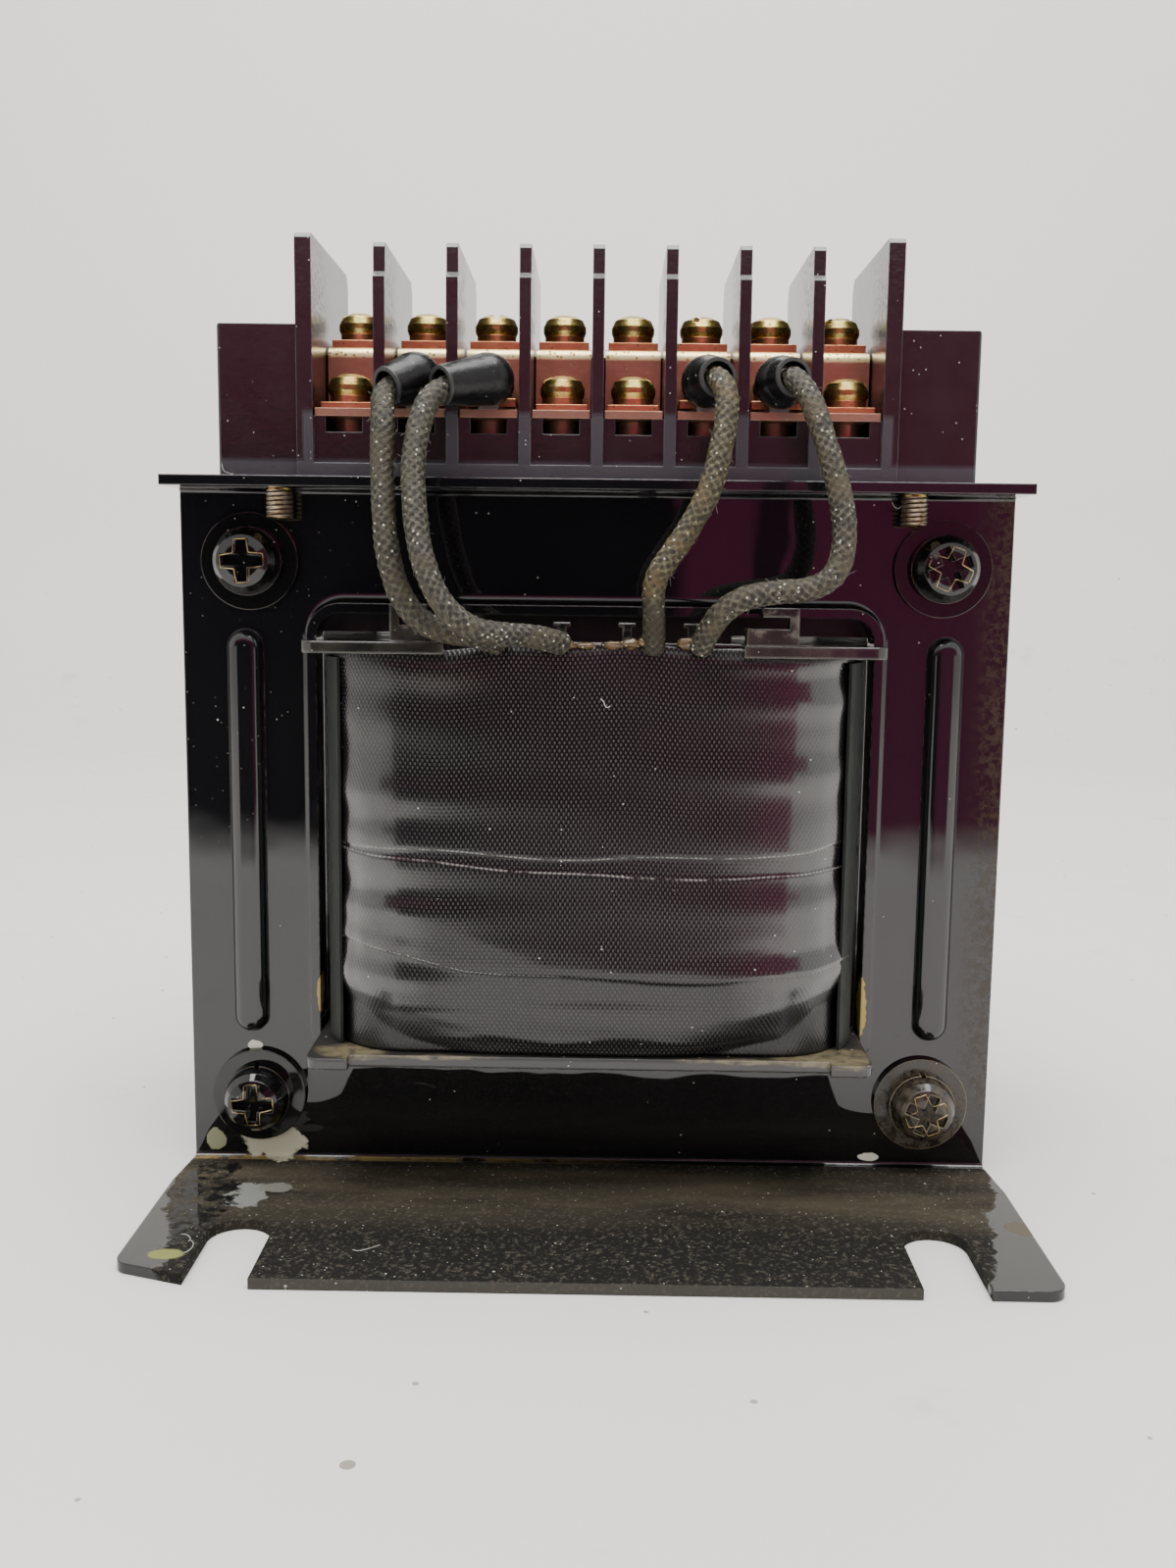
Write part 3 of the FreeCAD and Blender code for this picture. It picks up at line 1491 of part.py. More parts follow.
def make_boot(label, pole):
    """A rubber boot, slit below for the lug."""
    wall = D["boot_wall"]
    wide = BOOT_WIDTH / 2
    narrow = BOOT_MOUTH / 2
    slit_width = D["lug_tongue"] + D["slit_gap"]
    hollow = doc.addObject("Part::Cut", label + "_hollow")
    hollow.Base = boot_form(label + "_outer", pole, wide, narrow, False)
    hollow.Tool = boot_form(label + "_inner", pole, wide - wall, narrow - wall, True)
    slit = primitive(
        "Box", label + "_slit",
        (pole_x(pole) - slit_width / 2, LOW_SCREW_Y - D["slit_reach"], LOW_TAB - D["slit_gap"]),
        None, Length=slit_width, Width=D["slit_depth"], Height=D["slit_height"],
    )
    boot = doc.addObject("Part::Cut", label)
    boot.Label = label
    boot.Base = hollow
    boot.Tool = slit
    return boot


def make_lug(name, pole):
    """A ring lug on the lower tab: ring, tongue, riser and a crimped barrel."""
    x = pole_x(pole)
    gauge = D["lug_gauge"]
    left = x - D["lug_tongue"] / 2
    riser_y = LOW_SCREW_Y - LUG_WIDTH / 2 - D["tongue_reach"]
    heel = boot_end(pole)
    body = doc.addObject("Part::MultiFuse", name + "_body")
    body.Shapes = [
        primitive(
            "Cylinder", name + "_ring", (x, LOW_SCREW_Y, LOW_TAB), None,
            Radius=LUG_WIDTH / 2, Height=gauge,
        ),
        primitive(
            "Box", name + "_tongue", (left, riser_y, LOW_TAB), None,
            Length=D["lug_tongue"], Width=D["tongue_reach"] + gauge * 2, Height=gauge,
        ),
        primitive(
            "Box", name + "_riser", (left, riser_y, LOW_TAB), None,
            Length=D["lug_tongue"], Width=gauge, Height=D["boot_rise"],
        ),
        primitive("Sphere", name + "_heel", heel, None, Radius=D["lug_barrel"] / 2),
        primitive(
            "Cylinder", name + "_barrel", heel, along_boot(pole),
            Radius=D["lug_barrel"] / 2, Height=D["lug_barrel_length"],
        ),
    ]
    bore = primitive(
        "Cylinder", name + "_bore", (x, LOW_SCREW_Y, LOW_TAB - gauge), None,
        Radius=SCREW_BORE / 2, Height=gauge * 3,
    )
    lug = doc.addObject("Part::Cut", name)
    lug.Base = body
    lug.Tool = bore
    return lug


def leads():
    """Lugs, boots and leads of the four connected poles."""
    nodes = []
    lugs = []
    for index, pole in enumerate(LEAD_POLES, start=1):
        tag = str(index)
        lugs.append(make_lug("lug_" + tag, pole))
        nodes.append(make_boot("boot_" + tag, pole))
        nodes.append(make_lead("lead_" + tag, pole))
    nodes.append(group("lead_lugs", lugs))
    return nodes


def build_all():
    """Every node of the transformer."""
    nodes = [make_bracket("front_bracket", True), make_bracket("rear_bracket", False)]
    nodes[1].Placement = Placement(Vector(0, 0, 0), Rotation(ALONG_Z, 180))
    for index in range(PACKETS):
        upright = index % 2 == 0
        tag = str(index + 1)
        nodes.append(make_packet("e_packet_" + tag, "e", index, upright))
        nodes.append(make_packet("i_packet_" + tag, "i", index, upright))
    nodes.append(make_bobbin("bobbin"))
    nodes.extend(coil_layers())
    nodes.append(make_boards("insulating_boards"))
    nodes.extend(clamp_fasteners())
    nodes.append(make_terminal_base("terminal_base"))
    plates = []
    for pole in range(1, POLES + 1):
        plates.append(make_terminal_plate("plate_" + str(pole), pole))
    nodes.append(group("terminal_plates", plates))
    nodes.append(block_screws())
    nodes.extend(terminal_screws())
    nodes.extend(leads())
    doc.recompute()
    return nodes


def check_and_write(nodes):
    """Stops at a failed object or a bad shape, then writes one file for each node."""
    for thing in doc.Objects:
        for word in ("Invalid", "Error"):
            if word in thing.State:
                raise RuntimeError(thing.Label + " is " + word)
    for node in nodes:
        if node.Shape.isNull() or not node.Shape.isValid():
            raise RuntimeError(node.Label + " has a bad shape")
    for node in nodes:
        node.Shape.exportStep("parts/" + node.Label + ".step")
    print(len(nodes), "nodes written")


check_and_write(build_all())
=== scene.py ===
# %% [markdown]
# Looks for an open-frame transformer with a terminal block, on a pale bench.
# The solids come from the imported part, which is the fixed frame of this scene.
# This script paints them, and makes anew what a solid can't show:
# the braided leads, the cloth tape round the coil and the small wear and dirt.
# Lengths are written in millimetres and turned to metres by MM.

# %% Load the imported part
import math

import bpy
import numpy as np
from mathutils import Matrix, Vector


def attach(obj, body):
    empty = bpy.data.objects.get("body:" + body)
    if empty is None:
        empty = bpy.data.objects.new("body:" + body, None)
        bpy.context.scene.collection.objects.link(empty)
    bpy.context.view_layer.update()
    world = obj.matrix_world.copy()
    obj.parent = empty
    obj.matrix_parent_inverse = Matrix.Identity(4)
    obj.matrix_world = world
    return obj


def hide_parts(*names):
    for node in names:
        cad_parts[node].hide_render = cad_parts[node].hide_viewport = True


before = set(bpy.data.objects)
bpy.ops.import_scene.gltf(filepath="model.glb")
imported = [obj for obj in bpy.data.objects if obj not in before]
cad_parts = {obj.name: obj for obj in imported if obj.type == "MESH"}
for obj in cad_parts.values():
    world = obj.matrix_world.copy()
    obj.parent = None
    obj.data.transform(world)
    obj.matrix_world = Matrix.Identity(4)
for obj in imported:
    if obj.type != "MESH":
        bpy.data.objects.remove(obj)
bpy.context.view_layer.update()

MM = 0.001

# %% [markdown]
# The camera stands where the photographer held theirs: close to the front, a little higher
# than the coil, and looking slightly down. Its place was fitted to edges whose real size is
# known, so one matrix holds it. The lens is given in pixels of the photo's long side, and
# Blender wants it in millimetres of a 36 mm sensor.

# %% Camera
EYE = Vector((1.323, -268.452, 98.521)) * MM
YAW = -0.009
LOOK_DOWN = 0.135
ROLL = 0.012
FOCAL_PIXELS = 1500
LONG_SIDE_PIXELS = 1599
SENSOR = 36.0


def camera_axes(yaw, down, roll):
    """Right, up and forward of a camera that looks along +Y, turned by yaw, tipped down and rolled."""
    forward = Vector((math.sin(yaw) * math.cos(down), math.cos(yaw) * math.cos(down), -math.sin(down)))
    right = Vector((math.cos(yaw), -math.sin(yaw), 0))
    up = right.cross(forward)
    rolled_right = right * math.cos(roll) + up * math.sin(roll)
    rolled_up = up * math.cos(roll) - right * math.sin(roll)
    return rolled_right, rolled_up, forward


def link(piece):
    bpy.context.scene.collection.objects.link(piece)
    return piece


camera = link(bpy.data.objects.new("camera", bpy.data.cameras.new("camera")))
bpy.context.scene.camera = camera
right, up, forward = camera_axes(YAW, LOOK_DOWN, ROLL)
camera.matrix_world = Matrix.Translation(EYE) @ Matrix((right, up, -forward)).transposed().to_4x4()
camera.data.sensor_width = SENSOR
camera.data.lens = FOCAL_PIXELS / LONG_SIDE_PIXELS * SENSOR
camera.data.clip_start = 0.01
print("lens in mm:", round(camera.data.lens, 2))

# %% [markdown]
# The four leads come first, because they are the only free cords here. Each is a stranded wire
# in a braided sleeve. It leaves its rubber boot, drops in front of the plate and ends in the
# top of the coil. A curve with one smooth spline is the usual way to make a cord: its control
# points are the route's points of the part's source, so it lies where the solid lies.
# The bevelled curve is the core. The braid is a mesh that follows the same spline, made later.

# %% Leads: the routes, in millimetres
CORE_RADIUS = 1.55
LEADS = {
    1: (54.5, [(-29.616, -40.995, 128.293), (-32.2, -43.804, 126.799), (-31.4, -47.404, 122.299),
               (-31.4, -48.604, 118.199), (-31.4, -49.6, 113.6), (-30.9, -51.2, 107.8),
               (-30.2, -52.3, 102.4), (-28.6, -52.5, 96.7), (-25.6, -52.4, 92.8),
               (-21.0, -51.8, 91.1), (-16.5, -49.8, 90.5), (-14.4, -46.7, 89.45)]),
    2: (63.5, [(-18.795, -40.78, 128.59), (-24.197, -45.397, 127.196), (-26.097, -48.997, 121.196),
               (-26.597, -50.597, 115.996), (-26.4, -52.2, 111.4), (-25.7, -54.2, 106.3),
               (-24.6, -55.8, 101.0), (-22.0, -56.5, 95.5), (-18.0, -56.0, 91.9),
               (-13.6, -54.0, 91.1), (-8.4, -50.5, 90.9), (-4.6, -46.7, 89.65)]),
    3: (47.4, [(17.49, -41.682, 129.223), (18.299, -44.298, 129.003), (19.299, -46.998, 125.303),
               (18.299, -48.998, 118.703), (16.8, -50.0, 112.6), (14.0, -50.4, 107.2),
               (10.9, -50.6, 102.6), (8.6, -50.6, 99.3), (8.9, -49.8, 94.4), (9.0, -46.8, 88.65)]),
    4: (59.5, [(28.789, -41.616, 129.359), (29.599, -43.801, 129.297), (31.899, -46.801, 124.897),
               (33.799, -48.801, 118.297), (35.6, -50.0, 112.1), (36.5, -51.0, 106.1),
               (35.4, -51.9, 100.4), (31.9, -52.2, 98.1), (26.5, -52.4, 97.7),
               (20.9, -52.2, 96.6), (17.3, -50.4, 93.3), (15.8, -46.8, 88.95)]),
}


def lead_curve(name, route):
    """One open NURBS spline whose control points are the route. The order is set after the points."""
    curve = bpy.data.curves.new(name, "CURVE")
    curve.dimensions = "3D"
    spline = curve.splines.new("NURBS")
    spline.points.add(len(route) - 1)
    for point, place in zip(spline.points, route):
        point.co = (*(v * MM for v in place), 1)
    spline.order_u = 3
    spline.use_endpoint_u = True
    spline.resolution_u = 24
    return link(bpy.data.objects.new(name, curve))


def running_length(path):
    """The length from a path's start to each of its points."""
    return np.concatenate([[0], np.cumsum(np.linalg.norm(np.diff(path, axis=0), axis=1))])


lead_cores = {}
lead_paths = {}
for number, (length, route) in LEADS.items():
    core = lead_curve("lead_core_%d" % number, route)
    line = bpy.data.meshes.new_from_object(core)
    places = np.empty(len(line.vertices) * 3)
    line.vertices.foreach_get("co", places)
    lead_paths[number] = places.reshape(-1, 3)
    bpy.data.meshes.remove(line)
    core.data.bevel_depth = CORE_RADIUS * MM
    core.data.bevel_resolution = 4
    core.data.use_fill_caps = True
    lead_cores[number] = core
    fitted = running_length(lead_paths[number])[-1] / MM
    print("lead", number, "spline", round(fitted, 1), "mm, tube", length, "mm")

# %% [markdown]
# New pieces are surfaces worked out as whole arrays. One helper turns a grid of places into a
# mesh with its own UV map, and closes it in either direction. Another carries a ring along a
# path: it builds a frame at each station from one fixed direction, then takes out the twist,
# which is the running sum of the small turns between neighbours.

# %% Helpers for surfaces
def grid_faces(rows, columns, wrap_rows, wrap_columns):
    """Corners of every quad of the grid as row and column numbers that aren't yet wrapped round."""
    row, column = np.meshgrid(
        np.arange(rows if wrap_rows else rows - 1),
        np.arange(columns if wrap_columns else columns - 1), indexing="ij")
    row_of = np.stack([row, row, row + 1, row + 1], axis=-1).reshape(-1, 4)
    column_of = np.stack([column, column + 1, column + 1, column], axis=-1).reshape(-1, 4)
    return row_of, column_of


def mesh_of(name, places, faces, material, uv=None, **attributes):
    """A smooth mesh whose faces point outwards: the signed volume of its quads is made positive."""
    corner = places[faces]
    volume = np.einsum("ij,ij->i", corner[:, 0], np.cross(corner[:, 1], corner[:, 2])).sum()
    volume += np.einsum("ij,ij->i", corner[:, 0], np.cross(corner[:, 2], corner[:, 3])).sum()
    if volume < 0:
        faces = faces[:, ::-1]
        uv = None if uv is None else uv[:, ::-1]
    mesh = bpy.data.meshes.new(name)
    mesh.from_pydata(places.tolist(), [], faces.tolist())
    if uv is not None:
        layer = mesh.uv_layers.new(name="threads")
        layer.data.foreach_set("uv", uv.reshape(-1))
    for label, values in attributes.items():
        mesh.attributes.new(label, "FLOAT", "POINT").data.foreach_set("value", values.reshape(-1))
    mesh.shade_smooth()
    mesh.materials.append(material)
    piece = link(bpy.data.objects.new(name, mesh))
    print(name, len(places), "points,", len(faces), "quads")
    return piece


def grid_piece(name, grid, material, wrap_rows=False, wrap_columns=False, uv_step=None, **attributes):
    """A piece from a grid of places, rows by columns by three."""
    rows, columns = grid.shape[:2]
    row_of, column_of = grid_faces(rows, columns, wrap_rows, wrap_columns)
    faces = (row_of % rows) * columns + column_of % columns
    uv = None
    if uv_step:
        uv = np.stack([column_of * uv_step[0], row_of * uv_step[1]], axis=-1)
    return mesh_of(name, grid.reshape(-1, 3), faces, material, uv, **attributes)


def unit(vectors):
    return vectors / np.maximum(np.linalg.norm(vectors, axis=-1, keepdims=True), 1e-12)


def rings(path, radius, sides):
    """Rings round paths. A point is path + radius * (side cos a + other sin a), frame untwisted."""
    along = unit(np.gradient(path, axis=-2))
    side = unit(np.cross(along, np.array([0.31, 0.52, -0.8])))
    other = np.cross(along, side)
    carried = side[..., :-1, :] - along[..., 1:, :] * (
        side[..., :-1, :] * along[..., 1:, :]).sum(-1, keepdims=True)
    turn = np.arctan2((carried * other[..., 1:, :]).sum(-1), (carried * side[..., 1:, :]).sum(-1))
    twist = np.concatenate([np.zeros_like(turn[..., :1]), np.cumsum(turn, axis=-1)], axis=-1)
    angle = twist[..., None] + np.arange(sides) * (2 * np.pi / sides)
    ring = side[..., None, :] * np.cos(angle)[..., None] + other[..., None, :] * np.sin(angle)[..., None]
    return path[..., None, :] + ring * np.asarray(radius)[..., None]


def tubes(name, paths, radius, sides, material):
    """Many closed tubes at once, from paths by stations by three. The ends shrink to a point."""
    count, stations = paths.shape[:2]
    shrink = np.ones(stations)
    shrink[[0, -1]] = 0.02
    ring = rings(paths, (radius * shrink)[None, :, None] * np.ones((count, 1, sides)), sides)
    row_of, column_of = grid_faces(stations, sides, False, True)
    face = row_of * sides + column_of % sides
    faces = (face[None] + (np.arange(count) * stations * sides)[:, None, None]).reshape(-1, 4)
    return mesh_of(name, ring.reshape(-1, 3), faces, material)


def evened(path, length, stations):
    """Even steps along a path, and its places there."""
    even = np.linspace(0, length[-1], stations)
    return even, np.stack([np.interp(even, length, line) for line in path.T], axis=1)


def curve_through(points, stations):
    """A smooth line through points, at even steps: each span is a cubic that eases between them."""
    points = np.asarray(points, float)
    spans = len(points) - 1
    place = np.linspace(0, spans, stations)
    index = np.minimum(place.astype(int), spans - 1)
    part = (place - index)[:, None]
    slope = np.gradient(points, axis=0)
    start, end = points[index], points[index + 1]
    return ((2 * part ** 3 - 3 * part ** 2 + 1) * start + (part ** 3 - 2 * part ** 2 + part) * slope[index]
            + (3 * part ** 2 - 2 * part ** 3) * end + (part ** 3 - part ** 2) * slope[index + 1])


WAVES = 14


def wave_noise(first, second, seed, rough=1.0):
    """A soft random height over two parameters: a sum of sines with random directions and phases."""
    draw = np.random.default_rng(seed)
    total = np.zeros(np.broadcast(first, second).shape)
    for _ in range(WAVES):
        turn = draw.uniform(0, 2 * np.pi)
        pace = rough * draw.uniform(0.5, 2.0)
        total += np.sin(pace * (first * np.cos(turn) + second * np.sin(turn)) + draw.uniform(0, 6.28))
    return total / math.sqrt(WAVES)


# %% [markdown]
# Every finish starts from the same small tree: one Principled shader and the output. Colour and
# roughness are then built up in layers, as a real surface is: the ground coat, then dust, wear
# and stains, each laid on by a mask. Values that are the same all over go straight on the shader.

# %% Helpers for finishes
def bare_material(name):
    """A material with an empty tree, and the input of its output."""
    material = bpy.data.materials.new(name)
    material.use_nodes = True
    tree = material.node_tree
    tree.nodes.clear()
    return material, tree, tree.nodes.new("ShaderNodeOutputMaterial").inputs["Surface"]


def wire(socket, value):
    """Links a socket, or sets a number or colour."""
    if isinstance(value, bpy.types.NodeSocket):
        socket.id_data.links.new(value, socket)
    elif isinstance(value, tuple) and len(value) == 3 and socket.type == "RGBA":
        socket.default_value = (*value, 1)
    else:
        socket.default_value = value


def add(tree, kind, inputs=(), **settings):
    """Adds a node of that kind. Inputs is a dict of socket name or number to a value or a socket."""
    made = tree.nodes.new("ShaderNode" + kind)
    for key, value in settings.items():
        setattr(made, key, value)
    for key, value in dict(inputs).items():
        wire(made.inputs[key], value)
    return made


def tree_of(*values):
    """The node tree of the first socket among some values."""
    return next(value.id_data for value in values if isinstance(value, bpy.types.NodeSocket))


def maths(operation, first, *others):
    """One Math node per further value, each taking the result so far."""
    for other in others or (0.0,):
        first = add(tree_of(first, other), "Math", {0: first, 1: other}, operation=operation).outputs[0]
    return first


def vectors(operation, first, *second):
    """A Vector Math node. A length or a dot product comes out as a number."""
    made = add(tree_of(first, *second), "VectorMath", dict(enumerate((first, *second))), operation=operation)
    return made.outputs["Value" if operation in ("LENGTH", "DOT_PRODUCT") else "Vector"]


def both(*masks):
    """The product of masks: on where all of them are."""
    return maths("MULTIPLY", *masks)


def either(*masks):
    """The highest of masks: on where any of them is."""
    return maths("MAXIMUM", *masks)


def span(value, low, high):
    """Soft step of a value: 0 at low, 1 at high. Low may be the larger one."""
    return add(tree_of(value), "MapRange", {"Value": value, "From Min": low, "From Max": high},
               interpolation_type="SMOOTHSTEP").outputs[0]


def within(value, low, high, soft):
    """1 between low and high, with soft edges outside."""
    return both(span(value, low - soft, low), span(value, high + soft, high))


def ramp(place, low, high):
    """Soft step of a place, from low to high in millimetres."""
    return span(place, low * MM, high * MM)


def band(place, low, high, soft):
    """1 between two places, in millimetres."""
    return within(place, low * MM, high * MM, soft * MM)


def blended(mask, under, over, kind="RGBA"):
    """Under where the mask is 0, over where it is 1."""
    first, second, out = {"RGBA": (6, 7, 2), "FLOAT": (2, 3, 0)}[kind]
    inputs = {0: mask, first: under, second: over}
    return add(tree_of(mask, under, over), "Mix", inputs, data_type=kind).outputs[out]


class Coats:
    """Colour, roughness, varnish and relief of a finish, built up coat by coat."""

    def __init__(self, name, colour, roughness, **uniform):
        """Uniform values go on the shader's own sockets."""
        self.material, self.tree, surface = bare_material(name)
        self.shader = add(self.tree, "BsdfPrincipled", {"Base Color": colour, "Roughness": roughness})
        wire(surface, self.shader.outputs["BSDF"])
        for socket, value in uniform.items():
            self.shader.inputs[socket.replace("_", " ")].default_value = value
        self.built = {"Base Color": colour, "Roughness": roughness}
        self.normal = None
        self.places = add(self.tree, "TexCoord").outputs["Object"]
        self.x, self.y, self.z = add(self.tree, "SeparateXYZ", {0: self.places}).outputs
        self.depth = maths("ABSOLUTE", self.y)

    def use(self, group, output=0, **inputs):
        """Places an effect group in this finish and gives one of its outputs."""
        made = self.tree.nodes.new("ShaderNodeGroup")
        made.node_tree = group
        if "Vector" in made.inputs:
            wire(made.inputs["Vector"], self.places)
        for key, value in inputs.items():
            wire(made.inputs[key], value)
        return made.outputs[output]

    def cloud(self, scale, low, high, stretch=(1.0, 1.0, 1.0)):
        """Soft clouds: 0 where their noise is under low, 1 where it is over high."""
        return self.use(FILM, Scale=scale, Low=low, High=high, Stretch=stretch)

    def dots(self, cells, chance, size):
        """Small dots in some cells of a cell pattern."""
        return self.use(SPECKS, Cells=cells, Chance=chance, Size=size)

    def patch(self, centre, reach, ragged, grain, soft):
        """A ragged ellipsoid. Its centre and reach are in millimetres."""
        return self.use(PATCH, Centre=tuple(v * MM for v in centre), Reach=tuple(v * MM for v in reach),
                        Ragged=ragged, Grain=grain, Soft=soft)

    def stored(self, label):
        """A value that the mesh keeps at each point."""
        return add(self.tree, "Attribute", attribute_name=label).outputs["Fac"]

    def edges(self, radius):
        """On along sharp edges, found over a radius in millimetres."""
        return self.use(EDGE, Radius=radius * MM)

    def soften(self, radius):
        """Shades sharp edges as if they were rounded by a radius in millimetres."""
        self.normal = self.use(EDGE, "Normal", Radius=radius * MM)

    def lay(self, mask, colour=None, roughness=None, varnish=None):
        """One coat over those so far, where the mask is on."""
        for label, value in (("Base Color", colour), ("Roughness", roughness), ("Coat Weight", varnish)):
            if value is not None:
                so_far = self.built.get(label, self.shader.inputs[label].default_value)
                kind = "RGBA" if label == "Base Color" else "FLOAT"
                self.built[label] = blended(mask, so_far, value, kind)

    def bump(self, height, depth):
        """Relief of that depth in millimetres, on top of the relief so far."""
        inputs = {"Height": height, "Distance": depth * MM, "Strength": 1.0}
        if self.normal is not None:
            inputs["Normal"] = self.normal
        self.normal = add(self.tree, "Bump", inputs).outputs[0]

    def done(self):
        """Joins what was built up to the shader."""
        for label, value in self.built.items():
            wire(self.shader.inputs[label], value)
        if self.normal is not None:
            wire(self.shader.inputs["Normal"], self.normal)
        return self.material


def clouded(name, colour, roughness, clouds, over, over_roughness, relief=None, **uniform):
    """A simple finish: soft clouds of a second colour on the first, raised by relief in millimetres."""
    finish = Coats(name, colour, roughness, **uniform)
    mask = finish.cloud(*clouds)
    finish.lay(mask, over, over_roughness)
    if relief:
        finish.bump(mask, relief)
    return finish.done()


def nodes_in(slot):
    """The CAD nodes of one material slot."""
    return [name for name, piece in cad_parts.items()
            if piece.data.materials and piece.data.materials[0].name.split(".")[0] == slot]


def paint(names, material):
    """Gives one material to CAD nodes, by name."""
    for name in names:
        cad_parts[name].data.materials[0] = material
    print(material.name, "on", len(names), "nodes")


# %% [markdown]
# Dust, film, stains, edge wear, ripple and weave turn up on several parts, so each is a node
# group, built once. Specks are small dots in some cells of a cell pattern. Film is a soft cloudy
# cover. A patch is a ragged ellipsoid at one place. Edge compares the true normal with one that
# is rounded over a small radius: where they differ, there is a sharp edge.

# %% Shared effects
def effect(name, outputs, **inputs):
    """An empty node group. Inputs come with a usual value: a number, a vector, or None for a vector."""
    tree = bpy.data.node_groups.new(name, "ShaderNodeTree")
    for label, usual in inputs.items():
        kind = "Float" if isinstance(usual, float) else "Vector"
        socket = tree.interface.new_socket(label, in_out="INPUT", socket_type="NodeSocket" + kind)
        if usual is not None:
            socket.default_value = usual
    for label, kind in outputs.items():
        tree.interface.new_socket(label, in_out="OUTPUT", socket_type="NodeSocket" + kind)
    return tree, tree.nodes.new("NodeGroupInput").outputs, tree.nodes.new("NodeGroupOutput").inputs


MASK = {"Mask": "Float"}
SPECKS, given, result = effect("dust specks", MASK, Vector=None, Cells=600.0, Chance=0.2, Size=0.15)
cells = add(SPECKS, "TexVoronoi", {"Vector": given["Vector"], "Scale": given["Cells"]})
near = maths("LESS_THAN", cells.outputs["Distance"], given["Size"])
colour_of_cell = add(SPECKS, "SeparateColor", {0: cells.outputs["Color"]}).outputs[0]
wire(result["Mask"], both(near, maths("LESS_THAN", colour_of_cell, given["Chance"])))

FILM, given, result = effect("dust film", MASK, Vector=None, Scale=80.0, Low=0.4, High=0.7,
                             Stretch=(1.0, 1.0, 1.0))
noise = add(FILM, "TexNoise", {"Vector": vectors("MULTIPLY", given["Vector"], given["Stretch"]),
                               "Scale": given["Scale"], "Detail": 7.0, "Roughness": 0.62})
ranged = add(FILM, "MapRange", {"Value": noise.outputs[0], "From Min": given["Low"],
                                "From Max": given["High"]})
wire(result["Mask"], ranged.outputs[0])

PATCH, given, result = effect("ragged patch", MASK, Vector=None, Centre=None, Reach=None, Ragged=0.4,
                              Grain=500.0, Soft=0.15)
offset = vectors("SUBTRACT", given["Vector"], given["Centre"])
away = vectors("LENGTH", vectors("DIVIDE", offset, given["Reach"]))
torn = add(PATCH, "TexNoise", {"Vector": given["Vector"], "Scale": given["Grain"], "Detail": 4.0})
shift = both(maths("SUBTRACT", torn.outputs[0], 0.5), given["Ragged"], 2.0)
wire(result["Mask"], span(maths("ADD", away, shift), 1.0, maths("SUBTRACT", 1.0, given["Soft"])))

EDGE, given, result = effect("rounded edge", {"Mask": "Float", "Normal": "Vector"}, Radius=0.0003)
rounded = add(EDGE, "Bevel", {"Radius": given["Radius"]}, samples=6)
agree = vectors("DOT_PRODUCT", rounded.outputs[0], add(EDGE, "NewGeometry").outputs["Normal"])
wire(result["Mask"], span(agree, 0.985, 0.86))
wire(result["Normal"], rounded.outputs[0])

SLOW_WAVE = {"Detail": 1.5, "Roughness": 0.4}
RIPPLE, given, result = effect("lacquer ripple", {"Height": "Float"}, Vector=None, Scale=60.0)
wave = add(RIPPLE, "TexNoise", {"Vector": given["Vector"], "Scale": given["Scale"], **SLOW_WAVE})
wire(result["Height"], wave.outputs[0])

WEAVE, given, result = effect("plain weave", {"Height": "Float", "Mask": "Float"}, UV=None)
threads = add(WEAVE, "SeparateXYZ", {0: given["UV"]}).outputs
warp, weft = (maths("COSINE", maths("MULTIPLY", count, math.pi)) for count in threads[:2])
crossing = maths("MULTIPLY", warp, weft)
wire(result["Height"], crossing)
wire(result["Mask"], span(crossing, 0.1, 0.75))
print("shared effects:", len(bpy.data.node_groups))

# %% [markdown]
# The brackets are pressed steel, dipped in thick black lacquer that mirrors like glass. A clear
# coat with a high refractive index gives the mirror, and what lies under it hardly reflects. A
# slow ripple bends the mirror, as the real coat does. Fine dust sits on it everywhere. The foot
# carries a khaki film along the crease, black grit in front of it, and lost chips of paint, each
# laid on at its place. The film ends in a torn, slanting line near the foot's sides: the outer
# strips stay clean and mirror the wall behind.

# %% Black lacquer on the brackets
FILM_SHIFT, FILM_HALF_WIDTH, FILM_SLANT = 1.1, 68.0, 0.22
lacquer = Coats("bracket lacquer", (0.0026, 0.0026, 0.0034), 0.5, IOR=1.25, Specular_IOR_Level=0.15,
                Coat_Weight=1.0, Coat_Roughness=0.025, Coat_IOR=1.72)
on_front = ramp(lacquer.y, -28, -29)
on_foot = both(ramp(lacquer.z, 2.4, 1.9), ramp(lacquer.depth, 30.4, 31.2))
rough_edge = both(lacquer.edges(0.35), lacquer.cloud(700, 0.5, 0.62))
lacquer.lay(rough_edge, (0.09, 0.085, 0.075), varnish=0.4)
plate_side = both(on_front, ramp(lacquer.x, 60, 65.5), ramp(lacquer.z, 6, 20), ramp(lacquer.y, -31.4, -30.6))
lacquer.lay(both(plate_side, lacquer.cloud(1100, 0.42, 0.62)), (0.042, 0.032, 0.022), varnish=0.45)

